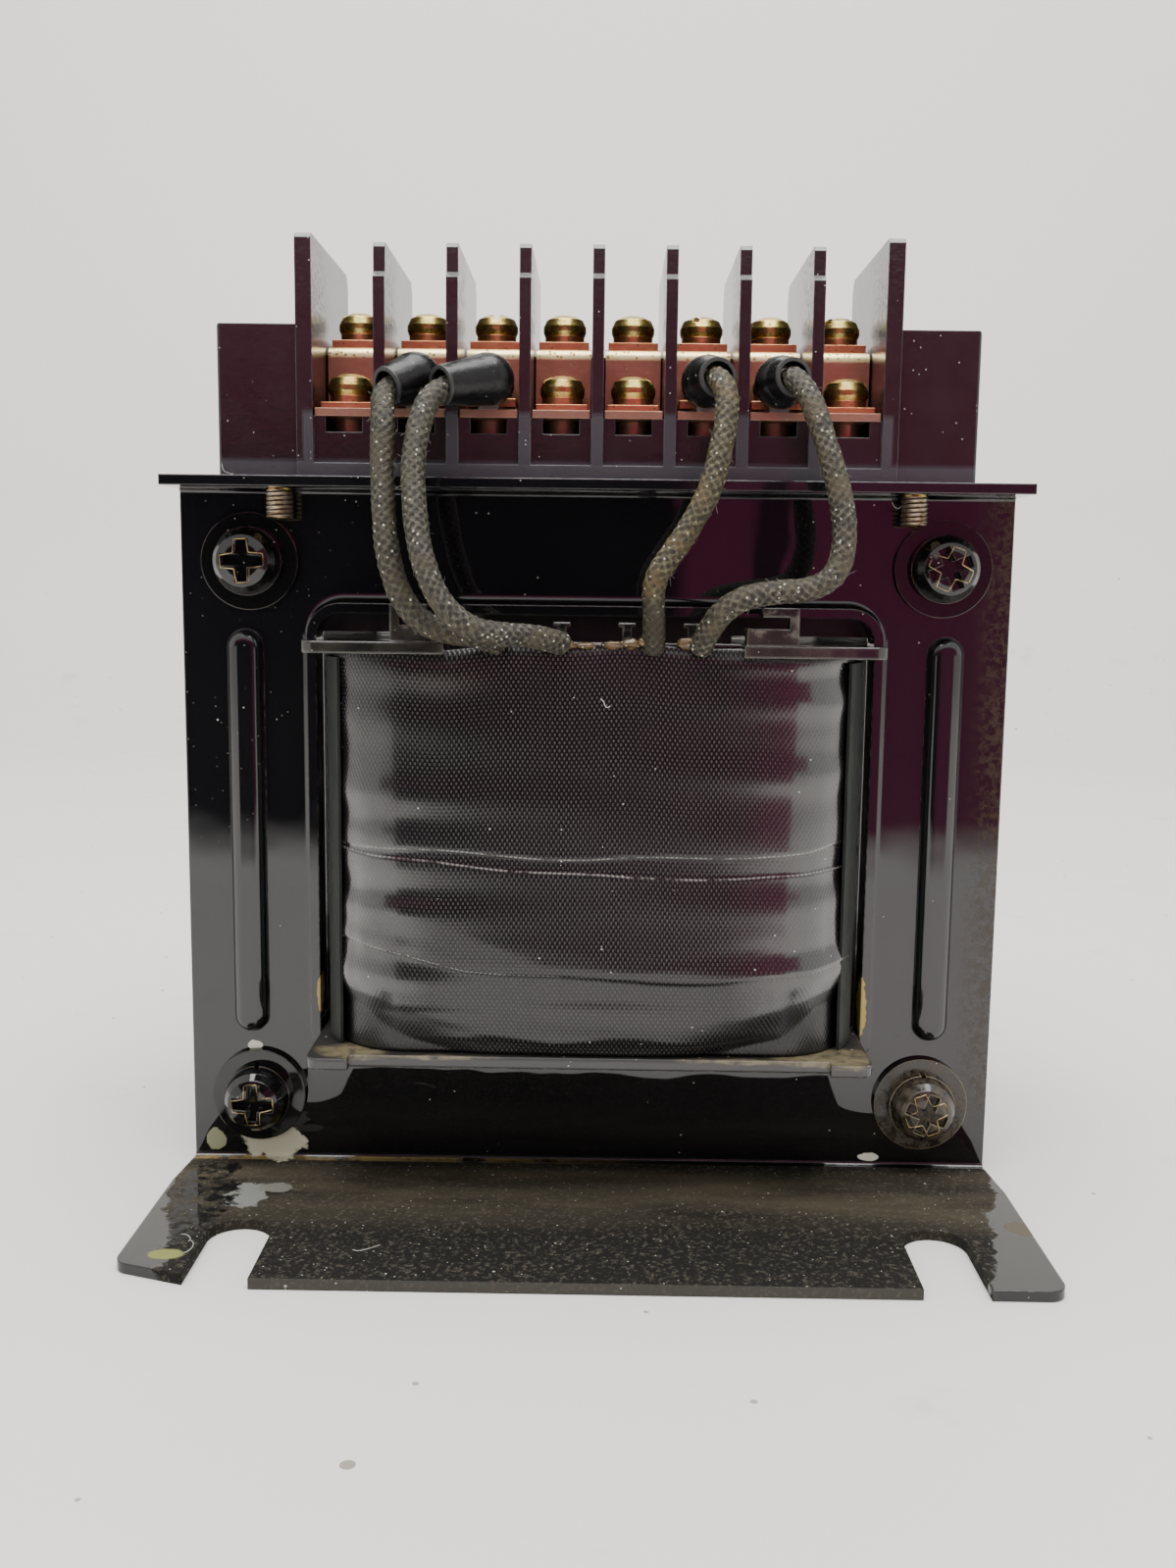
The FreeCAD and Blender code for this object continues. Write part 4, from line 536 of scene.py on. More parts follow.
slant = maths("ADD", maths("ABSOLUTE", maths("ADD", lacquer.x, FILM_SHIFT * MM)),
              maths("MULTIPLY", maths("SUBTRACT", lacquer.depth, 41 * MM), FILM_SLANT))
torn_line = maths("ADD", slant, maths("MULTIPLY", lacquer.cloud(220, 0.3, 0.7), 3 * MM))
film = both(on_foot, ramp(torn_line, FILM_HALF_WIDTH, FILM_HALF_WIDTH - 0.8))
lacquer.lay(film, (0.0155, 0.0145, 0.0132), 0.7, varnish=0.0)
khaki_band = both(film, ramp(lacquer.depth, 60, 45), lacquer.cloud(60, 0.3, 0.75, (0.35, 1.6, 1.0)),
                  ramp(lacquer.depth, 29.5, 37))
lacquer.lay(khaki_band, (0.105, 0.09, 0.058), 0.8)
# A painted highlight: a lighter grey line along the front edge of the foot.
lacquer.lay(both(film, ramp(lacquer.depth, 73.9, 74.15)), (0.06, 0.058, 0.05), 0.6)
lacquer.lay(both(film, lacquer.cloud(1500, 0.52, 0.74)), (0.1, 0.09, 0.07), 0.75)
grains = both(film, either(lacquer.dots(1000, 0.2, 0.13), lacquer.dots(380, 0.08, 0.09)))
lacquer.lay(grains, (0.36, 0.34, 0.29), 0.8)
clean_strip = both(on_foot, ramp(torn_line, FILM_HALF_WIDTH - 0.8, FILM_HALF_WIDTH))
lacquer.lay(clean_strip, varnish=0.72)
# A painted highlight: a golden line along the bend where the plate meets the foot, fading out to the right.
crease = both(on_front, band(lacquer.z, 1.6, 1.7, 0.1), ramp(lacquer.y, -31.6, -31.0),
              ramp(lacquer.x, 20, -60), lacquer.cloud(150, 0.36, 0.5))
lacquer.lay(crease, (0.3, 0.21, 0.08), varnish=0.3)

PAINT_LOSS = [
    ((-56.2, -30, 21.0), (1.4, 3, 0.9), (0.72, 0.7, 0.6)),
    ((-63.2, -30, 4.2), (1.8, 3, 1.9), (0.27, 0.27, 0.17)),
    ((-52.9, -30, 4.0), (5.3, 3, 3.0), (0.5, 0.48, 0.36)),
    ((47.4, -30.5, 3.0), (2.2, 3, 0.7), (0.7, 0.66, 0.55)),
    ((-54.0, -46.0, 2), (3.4, 5.4, 3), (0.19, 0.195, 0.18)),
    ((-50.5, -43.0, 2), (3.0, 2.0, 3), (0.17, 0.165, 0.14)),
    ((44.0, -33.5, 30.0), (1.3, 3.4, 5.4), (0.5, 0.36, 0.13)),
    ((-44.0, -33.5, 31.5), (1.0, 3.4, 3.4), (0.45, 0.33, 0.14)),
    ((66.5, -54.0, 2), (2.4, 2.6, 3), (0.1, 0.085, 0.06)),
]
for centre, reach, colour in PAINT_LOSS:
    lacquer.lay(lacquer.patch(centre, reach, 0.55, 420, 0.12), colour, 0.6, varnish=0.12)
flaked = both(lacquer.patch((-61.5, -48, 2), (6.5, 16, 4), 0.5, 300, 0.1), film,
              lacquer.cloud(500, 0.42, 0.55))
lacquer.lay(flaked, (0.006, 0.006, 0.006), 0.5, varnish=0.25)
oval = lacquer.patch((-60.9, -67, 2), (3, 1.9, 3), 0.12, 700, 0.25)
lacquer.lay(oval, (0.21, 0.22, 0.065), 0.5, varnish=0.1)
dust = either(lacquer.dots(520, 0.2, 0.055), lacquer.dots(210, 0.12, 0.035))
lacquer.lay(dust, (0.5, 0.47, 0.4), 0.8, varnish=0.0)
fine_dust = both(on_front, ramp(lacquer.x, -24, -52), ramp(lacquer.z, 40, 80), lacquer.dots(1100, 0.16, 0.12))
lacquer.lay(fine_dust, (0.2, 0.18, 0.15), 0.8, varnish=0.3)
lacquer.lay(both(lacquer.cloud(34, 0.35, 0.8), 0.022), (0.11, 0.1, 0.085))

# %% [markdown]
# The clear coat has its own normal, so it gets the rounded edges and the ripple. The film on the
# foot has a relief of its own, which only the ground under the coat takes.

# %% Ripple of the lacquer
lacquer.normal = add(lacquer.tree, "Bevel", {"Radius": 0.35 * MM}, samples=6).outputs[0]
ripple = add(lacquer.tree, "TexNoise", {"Vector": lacquer.places, "Scale": 70.0, **SLOW_WAVE}).outputs[0]
lacquer.bump(ripple, 0.16)
wire(lacquer.shader.inputs["Coat Normal"], lacquer.normal)
lacquer.bump(both(film, lacquer.cloud(260, 0.42, 0.75)), 0.12)
paint(nodes_in("bracket_paint"), lacquer.done())

# %% [markdown]
# The core is a stack of thin steel sheets, varnished after it was stacked. Its outer faces show
# the edges of the sheets as fine lines across the stack, with a little rust in the varnish. Waves
# along the stack's direction draw the sheet edges, half a millimetre apart.

# %% Core laminations
SHEET = 0.5


def ridges(place, pitch):
    """Rounded ridges, |sin(pi place / pitch)|, with their pitch in millimetres."""
    return maths("ABSOLUTE", maths("SINE", maths("MULTIPLY", place, math.pi / (pitch * MM))))


sheets = Coats("varnished laminations", (0.022, 0.02, 0.019), 0.32, IOR=1.6)
sheet_edge = ridges(sheets.y, SHEET)
sheets.lay(span(sheet_edge, 0.3, 0.05), (0.006, 0.006, 0.006), 0.5)
uneven = sheets.cloud(90, 0.3, 0.7, (1.0, 12.0, 0.15))
sheets.lay(both(uneven, 0.6), (0.05, 0.046, 0.042), 0.25)
sheets.lay(both(sheets.cloud(120, 0.58, 0.68), sheets.cloud(900, 0.4, 0.6)), (0.075, 0.036, 0.018), 0.7)
sheets.lay(sheets.dots(450, 0.14, 0.06), (0.4, 0.38, 0.33), 0.8)
sheets.bump(sheet_edge, 0.05)
sheets.bump(uneven, 0.08)
paint(nodes_in("lamination_steel"), sheets.done())

# %% [markdown]
# The bobbin is moulded nylon, black and shiny, with pale rubbed edges. Its lower flange lies
# under the coil like a shelf: dust and grit have settled there, and khaki varnish ran into the
# corners beside the coil when the whole transformer was dipped.

# %% Bobbin moulding
KHAKI_CORNERS = [
    ((-37, -46.5, 25.7), (6.5, 5.0, 1.2)), ((36.5, -46.5, 25.7), (9.5, 6.5, 1.2)),
    ((-33.2, -51.0, 24.6), (3.0, 1.5, 1.2)), ((-24.0, -49.5, 25.7), (14.0, 2.2, 0.8)),
    ((24.0, -49.5, 25.7), (14.0, 2.2, 0.8)), ((-37, 46.5, 25.7), (6.5, 5.0, 1.2)),
    ((36.5, 46.5, 25.7), (6.5, 5.0, 1.2)),
]
bobbin = Coats("bobbin moulding", (0.009, 0.0085, 0.009), 0.09, IOR=1.75)
rubbed = both(bobbin.edges(0.35), bobbin.cloud(260, 0.38, 0.6))
bobbin.lay(both(rubbed, 0.75), (0.2, 0.18, 0.14), 0.35)
shelf = both(band(bobbin.z, 25.3, 26.2, 0.2), ramp(bobbin.depth, 30, 32))
bobbin.lay(shelf, (0.02, 0.019, 0.017), 0.45)
bobbin.lay(both(shelf, bobbin.dots(700, 0.3, 0.15)), (0.45, 0.42, 0.36), 0.8)
for centre, reach in KHAKI_CORNERS:
    khaki = both(bobbin.patch(centre, reach, 0.5, 260, 0.5), bobbin.cloud(500, 0.28, 0.55))
    bobbin.lay(khaki, (0.2, 0.165, 0.095), 0.42)
bobbin.lay(both(ramp(bobbin.z, 90, 91.5), bobbin.cloud(420, 0.52, 0.7)), (0.12, 0.105, 0.08), 0.7)
# A painted highlight: a grey film on the front faces of the hooks, standing in for their sheen.
hook_front_sheen = both(ramp(bobbin.z, 86.9, 87.4), ramp(bobbin.depth, 48.5, 49.5))
bobbin.lay(both(hook_front_sheen, bobbin.cloud(160, 0.36, 0.62), 0.35), (0.085, 0.076, 0.058), 0.3)
bobbin.lay(bobbin.dots(620, 0.16, 0.08), (0.45, 0.42, 0.36), 0.8)
bobbin.soften(0.6)
bobbin.bump(bobbin.use(RIPPLE, Scale=160.0), 0.12)
paint(nodes_in("bobbin_plastic"), bobbin.done())

# %% [markdown]
# The boards between coil and core are pressed fibre, soaked with varnish until they are a dark
# green-brown. Their fibres run up and down, so the cloudy mask is stretched along Z.

# %% Fibre boards, windings and paper
WIRE_PITCH = 1.1
board = Coats("varnished fibre board", (0.007, 0.009, 0.0075), 0.5, IOR=1.4)
fibre = board.cloud(420, 0.35, 0.7, (1.0, 1.0, 0.09))
board.lay(fibre, (0.018, 0.024, 0.02), 0.4)
board.lay(board.cloud(60, 0.5, 0.75), (0.02, 0.022, 0.016), 0.3)
board.bump(fibre, 0.1)
paint(nodes_in("fibre_board"), board.done())

copper = Coats("enamelled wire", (0.24, 0.09, 0.03), 0.28, Metallic=0.85)
turns = ridges(copper.z, WIRE_PITCH)
copper.lay(span(turns, 0.45, 0.05), (0.07, 0.02, 0.008), 0.5)
copper.bump(turns, 0.3)
paint(nodes_in("winding_copper"), copper.done())
paint(nodes_in("insulation_paper"), clouded(
    "insulating paper", (0.16, 0.11, 0.05), 0.6, (700, 0.35, 0.7), (0.09, 0.058, 0.026), 0.45, 0.05))

# %% [markdown]
# The clamping bolts were lacquered with the frame, so they are black too, but each is a little
# different: the lower right one is dusty and its rim shows brass, the others are clean and shiny.
# The lacquer broke where the driver turned them, which leaves a thin brass line round each cross.

# %% Clamping bolts, washers and nuts
BOLT_X = 55.5
BOLT_LOW, BOLT_HIGH = 12.75, 101.55
bolt = Coats("bolt lacquer", (0.005, 0.0048, 0.0048), 0.06, IOR=1.62)
rim = bolt.edges(0.3)
bolt.lay(both(rim, bolt.cloud(420, 0.48, 0.64), 0.6), (0.16, 0.12, 0.06), 0.35)
dusty_corner = bolt.patch((57, -34, 11), (12, 9, 12), 0.2, 200, 0.3)
bolt.lay(both(dusty_corner, bolt.cloud(600, 0.34, 0.68)), (0.075, 0.06, 0.038), 0.5)
bolt.lay(both(rim, dusty_corner, 0.85), (0.34, 0.29, 0.17), 0.4)
bolt.lay(bolt.dots(900, 0.14, 0.09), (0.45, 0.42, 0.34), 0.8)
bolt.soften(0.3)
bolt.bump(bolt.use(RIPPLE, Scale=220.0), 0.1)
paint(nodes_in("bolt_lacquer"), bolt.done())

# %% [markdown]
# The terminal block is black moulding compound: shiny, with a fine grain of dust. The long
# barrier walls are rubbed and dusty towards their front. The strip along the foot of the
# block and the lower ends of the barriers carry a painted grey sheen, lighter than the rest.

# %% Terminal block moulding
block = Coats("block moulding", (0.014, 0.009, 0.009), 0.12, IOR=1.7)
# Painted sheen: a lighter grey on the strip at the block's foot and on the lower ends of the barriers.
low_strip_sheen = both(ramp(block.z, 117.6, 116.4), ramp(block.y, -34, -36))
barrier_foot_sheen = both(ramp(block.z, 125, 123.8), ramp(block.y, -37.5, -37.8), band(block.x, -44.9, 44.9, 0.6))
block.lay(either(low_strip_sheen, both(barrier_foot_sheen, 0.8)), (0.05, 0.054, 0.062), 0.32)
upright = both(ramp(block.z, 137.6, 138.2), ramp(block.y, -20, -32))
facing = add(block.tree, "SeparateXYZ", {0: add(block.tree, "NewGeometry").outputs["Normal"]}).outputs[0]
sideways = span(maths("ABSOLUTE", facing), 0.7, 0.9)
block.lay(both(upright, sideways, block.cloud(1100, 0.42, 0.62), 0.55), (0.16, 0.16, 0.165), 0.5)
block.lay(both(block.edges(0.22), block.cloud(180, 0.3, 0.6), 0.75), (0.13, 0.135, 0.14), 0.35)
block.lay(either(block.dots(1000, 0.13, 0.12), block.dots(420, 0.12, 0.06)), (0.34, 0.32, 0.3), 0.75)
block.lay(both(block.cloud(160, 0.4, 0.8), 0.3), (0.03, 0.028, 0.03), 0.28)
block.soften(0.22)
block.bump(block.cloud(900, 0.3, 0.7), 0.03)
paint(nodes_in("block_moulding"), block.done())

# %% [markdown]
# The terminal plates are stepped strips of plated copper: pinkish and smooth on the riser,
# yellower where the upper tab bends over, with a painted highlight there, duller on the lower
# tab. The screws are yellow-passivated steel, which is gold with patches of olive and copper.
# The square washers under them are the same plating, heated to orange.

# %% Terminal metals
plates = Coats("plated copper", (0.56, 0.33, 0.21), 0.3, Metallic=0.85)
bend = both(band(plates.z, 134.2, 135.6, 0.25), ramp(plates.y, -22.6, -23.6))
plates.lay(both(plates.cloud(240, 0.4, 0.7), 0.6), (0.42, 0.21, 0.14), 0.38)
# The bend of the upper tab is yellower, and it is painted brighter as a highlight.
plates.lay(bend, (0.85, 0.68, 0.36), 0.32)
plates.lay(both(bend, plates.dots(1500, 0.5, 0.35)), (0.4, 0.26, 0.1), 0.5)
plates.lay(both(ramp(plates.z, 126, 125.2), plates.cloud(320, 0.3, 0.7)), (0.36, 0.22, 0.17), 0.45)
plates.lay(plates.dots(900, 0.12, 0.12), (0.6, 0.5, 0.35), 0.6)
plates.soften(0.2)
plates.bump(plates.cloud(400, 0.3, 0.7), 0.04)
paint(nodes_in("terminal_metal"), plates.done())


def plated_finish(name, colour, olive, coppery, roughness):
    """Yellow passivation: gold with patches of olive and of copper, and dull spots."""
    metal = Coats(name, colour, roughness, Metallic=1.0)
    metal.lay(metal.cloud(170, 0.42, 0.66), olive, roughness * 1.3)
    metal.lay(metal.cloud(330, 0.52, 0.72), coppery, roughness * 1.1)
    metal.lay(metal.dots(1600, 0.16, 0.25), (0.25, 0.19, 0.1), 0.6)
    metal.soften(0.18)
    metal.bump(metal.cloud(900, 0.3, 0.7), 0.025)
    return metal.done()


paint(nodes_in("yellow_zinc"), plated_finish(
    "yellow passivated screws", (0.72, 0.55, 0.17), (0.38, 0.34, 0.11), (0.72, 0.34, 0.13), 0.24))
paint(nodes_in("washer_zinc"), plated_finish(
    "heated washers", (0.85, 0.42, 0.2), (0.72, 0.33, 0.15), (0.9, 0.52, 0.26), 0.3))

lug = Coats("tinned lug", (0.6, 0.58, 0.54), 0.3, Metallic=1.0)
lug.lay(lug.cloud(500, 0.4, 0.7), (0.38, 0.36, 0.33), 0.5)
lug.bump(lug.cloud(700, 0.3, 0.7), 0.04)
paint(nodes_in("tinned_lug"), lug.done())

# %% [markdown]
# The boots are soft black rubber pushed over the lugs. Rubber is dull and picks up lint and dust.
# Its open rim carries a painted grey highlight. The rim is found by how far a point lies along
# the boot's own line from its mouth, so each boot needs its own mouth and aim.

# %% Rubber boots
BOOTS = {
    1: ((-31.600, -43.204, 127.399), (-0.466, -0.519, -0.21)),
    2: ((-23.297, -44.597, 127.496), (-0.815, -0.691, -0.198)),
    3: ((17.999, -43.398, 129.303), (0.161, -0.543, 0.025)),
    4: ((29.299, -43.001, 129.497), (0.182, -0.494, 0.049)),
}
for number, (mouth, aim) in BOOTS.items():
    rubber = Coats("boot rubber %d" % number, (0.004, 0.004, 0.0045), 0.2, IOR=1.42)
    ahead = vectors("SUBTRACT", rubber.places, tuple(v * MM for v in mouth))
    along = vectors("DOT_PRODUCT", ahead, tuple(Vector(aim).normalized()))
    rubber.lay(rubber.cloud(260, 0.5, 0.75), (0.012, 0.012, 0.013), 0.4)
    # A painted highlight: a grey band round the open rim of the boot.
    rubber.lay(both(ramp(along, -0.55, -0.15), 0.7), (0.06, 0.06, 0.06), 0.45)
    rubber.lay(rubber.dots(900, 0.22, 0.12), (0.3, 0.29, 0.26), 0.8)
    rubber.soften(0.25)
    rubber.bump(rubber.cloud(500, 0.3, 0.7), 0.06)
    paint(["boot_%d" % number], rubber.done())

# %% [markdown]
# The sleeves are braided from glass yarn and stiff with old varnish. Two families of strands wind
# round in opposite ways, passing over and under each other. The radius of the tube is raised
# where a strand lies on top, with random lumps on it. The height is also kept on the mesh, so that
# the finish can darken the gaps between strands, where the varnish stayed brown.

# %% Braided sleeves
SLEEVE_RADIUS = 1.72
STRANDS = 7
LAY_LENGTH = 9.5
BRAID_SIDES = 44
BRAID_STEP = 0.26
YARNS = {
    1: ((0.12, 0.11, 0.068), (0.012, 0.01, 0.005), (0.055, 0.044, 0.02), 0.0),
    2: ((0.145, 0.138, 0.095), (0.013, 0.011, 0.006), (0.064, 0.053, 0.028), 0.0),
    3: ((0.185, 0.165, 0.088), (0.024, 0.018, 0.006), (0.1, 0.066, 0.018), 0.85),
    4: ((0.16, 0.146, 0.1), (0.016, 0.013, 0.007), (0.075, 0.058, 0.028), 0.0),
}


def braid_height(run, angle, seed):
    """Two helices of cosine ridges. Where their crossing wave is positive, the first lies on top."""
    pace = 2 * np.pi * run / LAY_LENGTH
    first = STRANDS * (angle + pace)
    second = STRANDS * (angle - pace)
    over = 0.5 + 0.5 * np.cos((first + second) / 2) * np.cos((first - second) / 2)
    ridge = np.maximum(np.cos(first / 2) ** 2 * (0.55 + 0.45 * over),
                       np.cos(second / 2) ** 2 * (1.0 - 0.45 * over))
    lumps = wave_noise(run * 3.1, STRANDS * angle, seed, 1.0)
    return np.clip(ridge * (0.85 + 0.18 * lumps), 0, 1.3)


def sleeve_finish(name, pale, dark, stain, soak):
    """Grey-white strands, brown varnish in the gaps, amber stains, bright grains, a soaked end."""
    yarn = Coats(name, dark, 0.5)
    yarn.lay(both(span(yarn.stored("strand_height"), 0.28, 0.8), yarn.cloud(1500, 0.32, 0.62)), pale, 0.6)
    yarn.lay(both(yarn.cloud(190, 0.48, 0.62), 0.75), stain, 0.45)
    yarn.lay(yarn.dots(1500, 0.16, 0.27), (0.5, 0.48, 0.4), 0.35)
    yarn.lay(yarn.dots(1150, 0.2, 0.34), (0.02, 0.017, 0.012), 0.5)
    yarn.lay(both(ramp(yarn.z, 99, 93), soak), (0.02, 0.016, 0.007), 0.22)
    yarn.bump(yarn.cloud(2600, 0.3, 0.7), 0.12)
    return yarn.done()


for number, path in lead_paths.items():
    length = running_length(path) / MM
    even, smooth = evened(path, length, int(length[-1] / BRAID_STEP))
    angle = np.arange(BRAID_SIDES) * (2 * np.pi / BRAID_SIDES)
    height = braid_height(even[:, None], angle[None, :], 40 + number)
    swell = 0.07 * wave_noise(even[:, None] * 0.45, np.cos(angle)[None, :], 60 + number)
    radius = (SLEEVE_RADIUS - 0.1 + 0.24 * height + swell) * MM
    radius[[0, -1]] *= 0.05
    finish = sleeve_finish("sleeve yarn %d" % number, *YARNS[number])
    sleeve = grid_piece("lead_sleeve_%d" % number, rings(smooth, radius, BRAID_SIDES), finish,
                        wrap_columns=True, strand_height=height)
    core = lead_cores[number]
    core.data.materials.append(finish)
    length, route = LEADS[number]
    for piece in (core, sleeve):
        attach(piece, "transformer")
        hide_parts("lead_%d" % number)

# %% [markdown]
# Single broken fibres stand off the sleeves. Each is a short arc that leaves the surface, so all
# of them are made at once: a start on the sleeve, a way outwards, and a bend.

# %% Loose fibres on the sleeves
FIBRES = 70
FIBRE_STATIONS = 5
glass = clouded("loose glass fibre", (0.3, 0.29, 0.24), 0.5, (900, 0.4, 0.6), (0.13, 0.12, 0.09), 0.6)
for number, path in lead_paths.items():
    draw = np.random.default_rng(80 + number)
    pick = draw.integers(12, len(path) - 6, FIBRES)
    along = unit(path[pick + 4] - path[pick - 4])
    out = unit(np.cross(along, unit(draw.normal(size=(FIBRES, 3)))))
    reach = draw.uniform(0.25, 1.1, (FIBRES, 1)) * draw.uniform(0.4, 1.0, (FIBRES, 1))
    step = np.linspace(0, 1, FIBRE_STATIONS)[None, :, None]
    bend = unit(draw.normal(size=(FIBRES, 3)))[:, None, :]
    lines = (path[pick][:, None, :] + out[:, None, :] * (SLEEVE_RADIUS + reach[:, None, :] * step) * MM
             + along[:, None, :] * step * draw.uniform(-1.6, 1.6, (FIBRES, 1, 1)) * MM
             + bend * step ** 2 * 0.35 * MM)
    fuzz = tubes("lead_fibres_%d" % number, lines, 0.028 * MM, 3, glass)
    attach(fuzz, "transformer")

# %% [markdown]
# The coil is wrapped in woven cloth tape and varnished. Wound cloth isn't flat: it is widest along
# a belly line, leans back above it in two slopes, and turns in below it. Towards both sides it
# sinks in under a fold. Each turn of tape overlaps the last, which leaves low steps with a frayed
# edge. One closed surface carries all of this: the outline is a rounded rectangle, and every
# point is moved out along the outline's normal. Lines over the front are given as x and z.
# The UV map counts threads, so the weave follows the cloth.

# %% Cloth tape: outline and heights
HALF_WIDTH, HALF_DEPTH, CORNER = 41.7, 47.5, 13.0
COIL_FOOT, COIL_TOP = 25.95, 87.75
THREAD_ACROSS, THREAD_UP = 0.37, 0.58
TAPE_COLUMNS, TAPE_ROWS = 440, 190
BULGE, SIDE_SINK, DEEPEST = 3.15, 0.75, -0.82
LEAN_LOW, LEAN_HIGH, KNEE = 0.088, 0.062, 13.0
LAPS = {
    "lap_a": ([-42, -33.6, -0.4, 32.9, 42], [58.2, 58.4, 57.0, 58.1, 59.5]),
    "lap_b": ([-42, -32.8, 5.6, 32.4, 42], [58.0, 56.9, 54.3, 54.7, 55.4]),
    "lap_c": ([-42, -35.4, -19.3, -0.2, 20.0, 33.5, 42], [43.6, 42.8, 39.8, 38.6, 38.3, 39.6, 41.0]),
}
BELLY = ([-42, -34.4, -30.2, -18.2, -6.2, 5.8, 17.7, 29.6, 34.8, 42],
         [50.5, 49.9, 48.7, 45.1, 40.6, 39.7, 41.0, 43.8, 45.1, 46])
FOLD = ([-42, -34.5, -27.3, -19.7, -6.0, 13.4, 23.9, 35.1, 42],
        [36, 35.1, 33.1, 31.0, 30.3, 31.2, 32.6, 35.9, 37])


def outline(turn):
    """Rounded rectangle by running length: four straight sides and four quarter circles."""
    reach = np.array([HALF_WIDTH - CORNER, HALF_DEPTH - CORNER])
    arc = CORNER * np.pi / 2
    starts = np.concatenate([[0], np.cumsum([reach[0] * 2, arc, reach[1] * 2, arc] * 2)])
    run = turn * starts[-1]
    index = np.clip(np.searchsorted(starts, run, side="right") - 1, 0, 7)
    inside = run - starts[index]
    side, is_arc = index // 2, index % 2 == 1
    facing = -np.pi / 2 + side * np.pi / 2
    angle = facing + np.where(is_arc, inside / CORNER, 0)
    normal = np.stack([np.cos(angle), np.sin(angle)], axis=-1)
    tangent = np.stack([-np.sin(facing), np.cos(facing)], axis=-1)
    corners = np.array([(-1, -1), (1, -1), (1, 1), (-1, 1)]) * reach
    centre = np.where(is_arc[:, None], corners[(side + 1) % 4], corners[side] + tangent * inside[:, None])
    return centre + normal * CORNER, normal, starts[-1]


def smooth_step(value, low, high):
    part = np.clip((value - low) / (high - low), 0, 1)
    return part * part * (3 - 2 * part)


turn = np.arange(TAPE_COLUMNS) / TAPE_COLUMNS
plan, plan_normal, perimeter = outline(turn)
along_x = plan[:, 0]
front = smooth_step(-plan_normal[:, 1], 0.1, 0.98)
rear = smooth_step(plan_normal[:, 1], 0.1, 0.98)
middle = np.clip(1 - np.abs(along_x / 37.0) ** 3, 0, 1) * (front + rear)
lap_lines = [np.interp(along_x, *line) + 0.25 * np.sin(along_x * 0.21 + phase)
             for phase, line in enumerate(LAPS.values())]
belly_line = np.interp(along_x, *BELLY)
fold_line = np.interp(along_x, *FOLD)
sides = smooth_step(-along_x, 15.0, 27.0) + smooth_step(along_x, 10.0, 27.0)
top_edge = COIL_TOP + 1.1 + 0.8 * np.exp(-((along_x - 2.0) / 17.0) ** 4) * front
top_edge = top_edge + 0.25 * np.sin(along_x * 0.33) * front
print("tape perimeter:", round(perimeter, 1), "mm")


def tape_offset(height):
    """How far the cloth stands out of the solid's outline: bulge, laps, wrinkles and rolled edges."""
    knee = belly_line + KNEE
    lean = LEAN_LOW * (np.clip(height, belly_line, knee) - belly_line)
    lean += LEAN_HIGH * np.clip(height - knee, 0, None)
    down = np.clip((belly_line - height) / 16.0, 0, 1)
    bulge = (BULGE * middle - SIDE_SINK) - lean * middle - down ** 1.6 * 1.9 * middle
    wrinkle = 0.1 * np.sin(height * 0.62 + 0.05 * along_x + 1.2 * np.sin(along_x * 0.07))
    wrinkle += 0.07 * wave_noise(along_x * 0.05, height * 0.5, 5, 1.3)
    calm = smooth_step(height - belly_line, 0.0, 5.0) * (1 - smooth_step(np.abs(along_x), 8.0, 28.0))
    wrinkle *= smooth_step(height, 27.0, 31.0) * (1 - 0.7 * calm) * (1 + 0.6 * sides)
    step_a = 0.2 * smooth_step(height - lap_lines[0], -0.18, 0.18)
    step_b = 0.22 * smooth_step(lap_lines[1] - height, -0.18, 0.18)
    step_c = 0.24 * smooth_step(height - lap_lines[2], -0.18, 0.18)
    flap = 0.12 * np.exp(-((height - lap_lines[2] - 1.2) / 1.3) ** 2)
    low_fold = -1.5 * sides * (1 - smooth_step(height, fold_line - 8.5, fold_line + 0.4))
    low_fold += 0.8 * sides * np.exp(-((height - fold_line - 3.0) / 5.0) ** 2)
    low_fold -= 0.15 * np.exp(-((height - 35.3) / 1.1) ** 2 - ((along_x + 3) / 14) ** 2)
    low_fold -= 0.14 * np.exp(-((height - 32.6) / 0.8) ** 2 - ((along_x + 24) / 8) ** 2)
    gather = smooth_step(top_edge - height, 0.6, 3.0) * (1 - smooth_step(top_edge - height, 3.0, 9.0))
    low_fold += 0.5 * gather * smooth_step(np.abs(along_x), 14.0, 24.0) * middle
    roll = smooth_step(height, top_edge - 2.4, top_edge + 0.2)
    rolled = -0.85 * (1 - np.sqrt(np.clip(1 - roll ** 2, 0, 1)))
    tucked = -1.0 * (1 - smooth_step(height, COIL_FOOT - 0.2, COIL_FOOT + 2.9 + 0.5 * np.sin(along_x * 0.3)))
    return bulge + wrinkle + step_a + step_b + step_c + flap + low_fold + rolled + tucked


rise = np.linspace(0, 1, TAPE_ROWS - 4)[:, None]
outer_height = COIL_FOOT + rise * (top_edge - COIL_FOOT)[None, :]
inner_low = np.full(TAPE_COLUMNS, COIL_FOOT + 0.25)
inner_rows = np.stack([top_edge - 0.1, top_edge - 2.2, inner_low + 2, inner_low])
tape_height = np.concatenate([outer_height, inner_rows], axis=0)
tape_shift = np.full((TAPE_ROWS, TAPE_COLUMNS), -0.93)
tape_shift[:-4] = np.maximum(tape_offset(outer_height), DEEPEST)
tape_shift[-4] = -0.9
tape_grid = np.empty((TAPE_ROWS, TAPE_COLUMNS, 3))
tape_grid[..., :2] = plan[None] + plan_normal[None] * tape_shift[..., None]
tape_grid[..., 2] = tape_height
above_laps = {label: tape_height - line for label, line in zip(LAPS, lap_lines)}
# Where painted shade goes: under the fold at both sides, kept on the mesh.
above_laps["shade_under_fold"] = sides * (1 - smooth_step(tape_height, fold_line - 0.7, fold_line + 0.2))
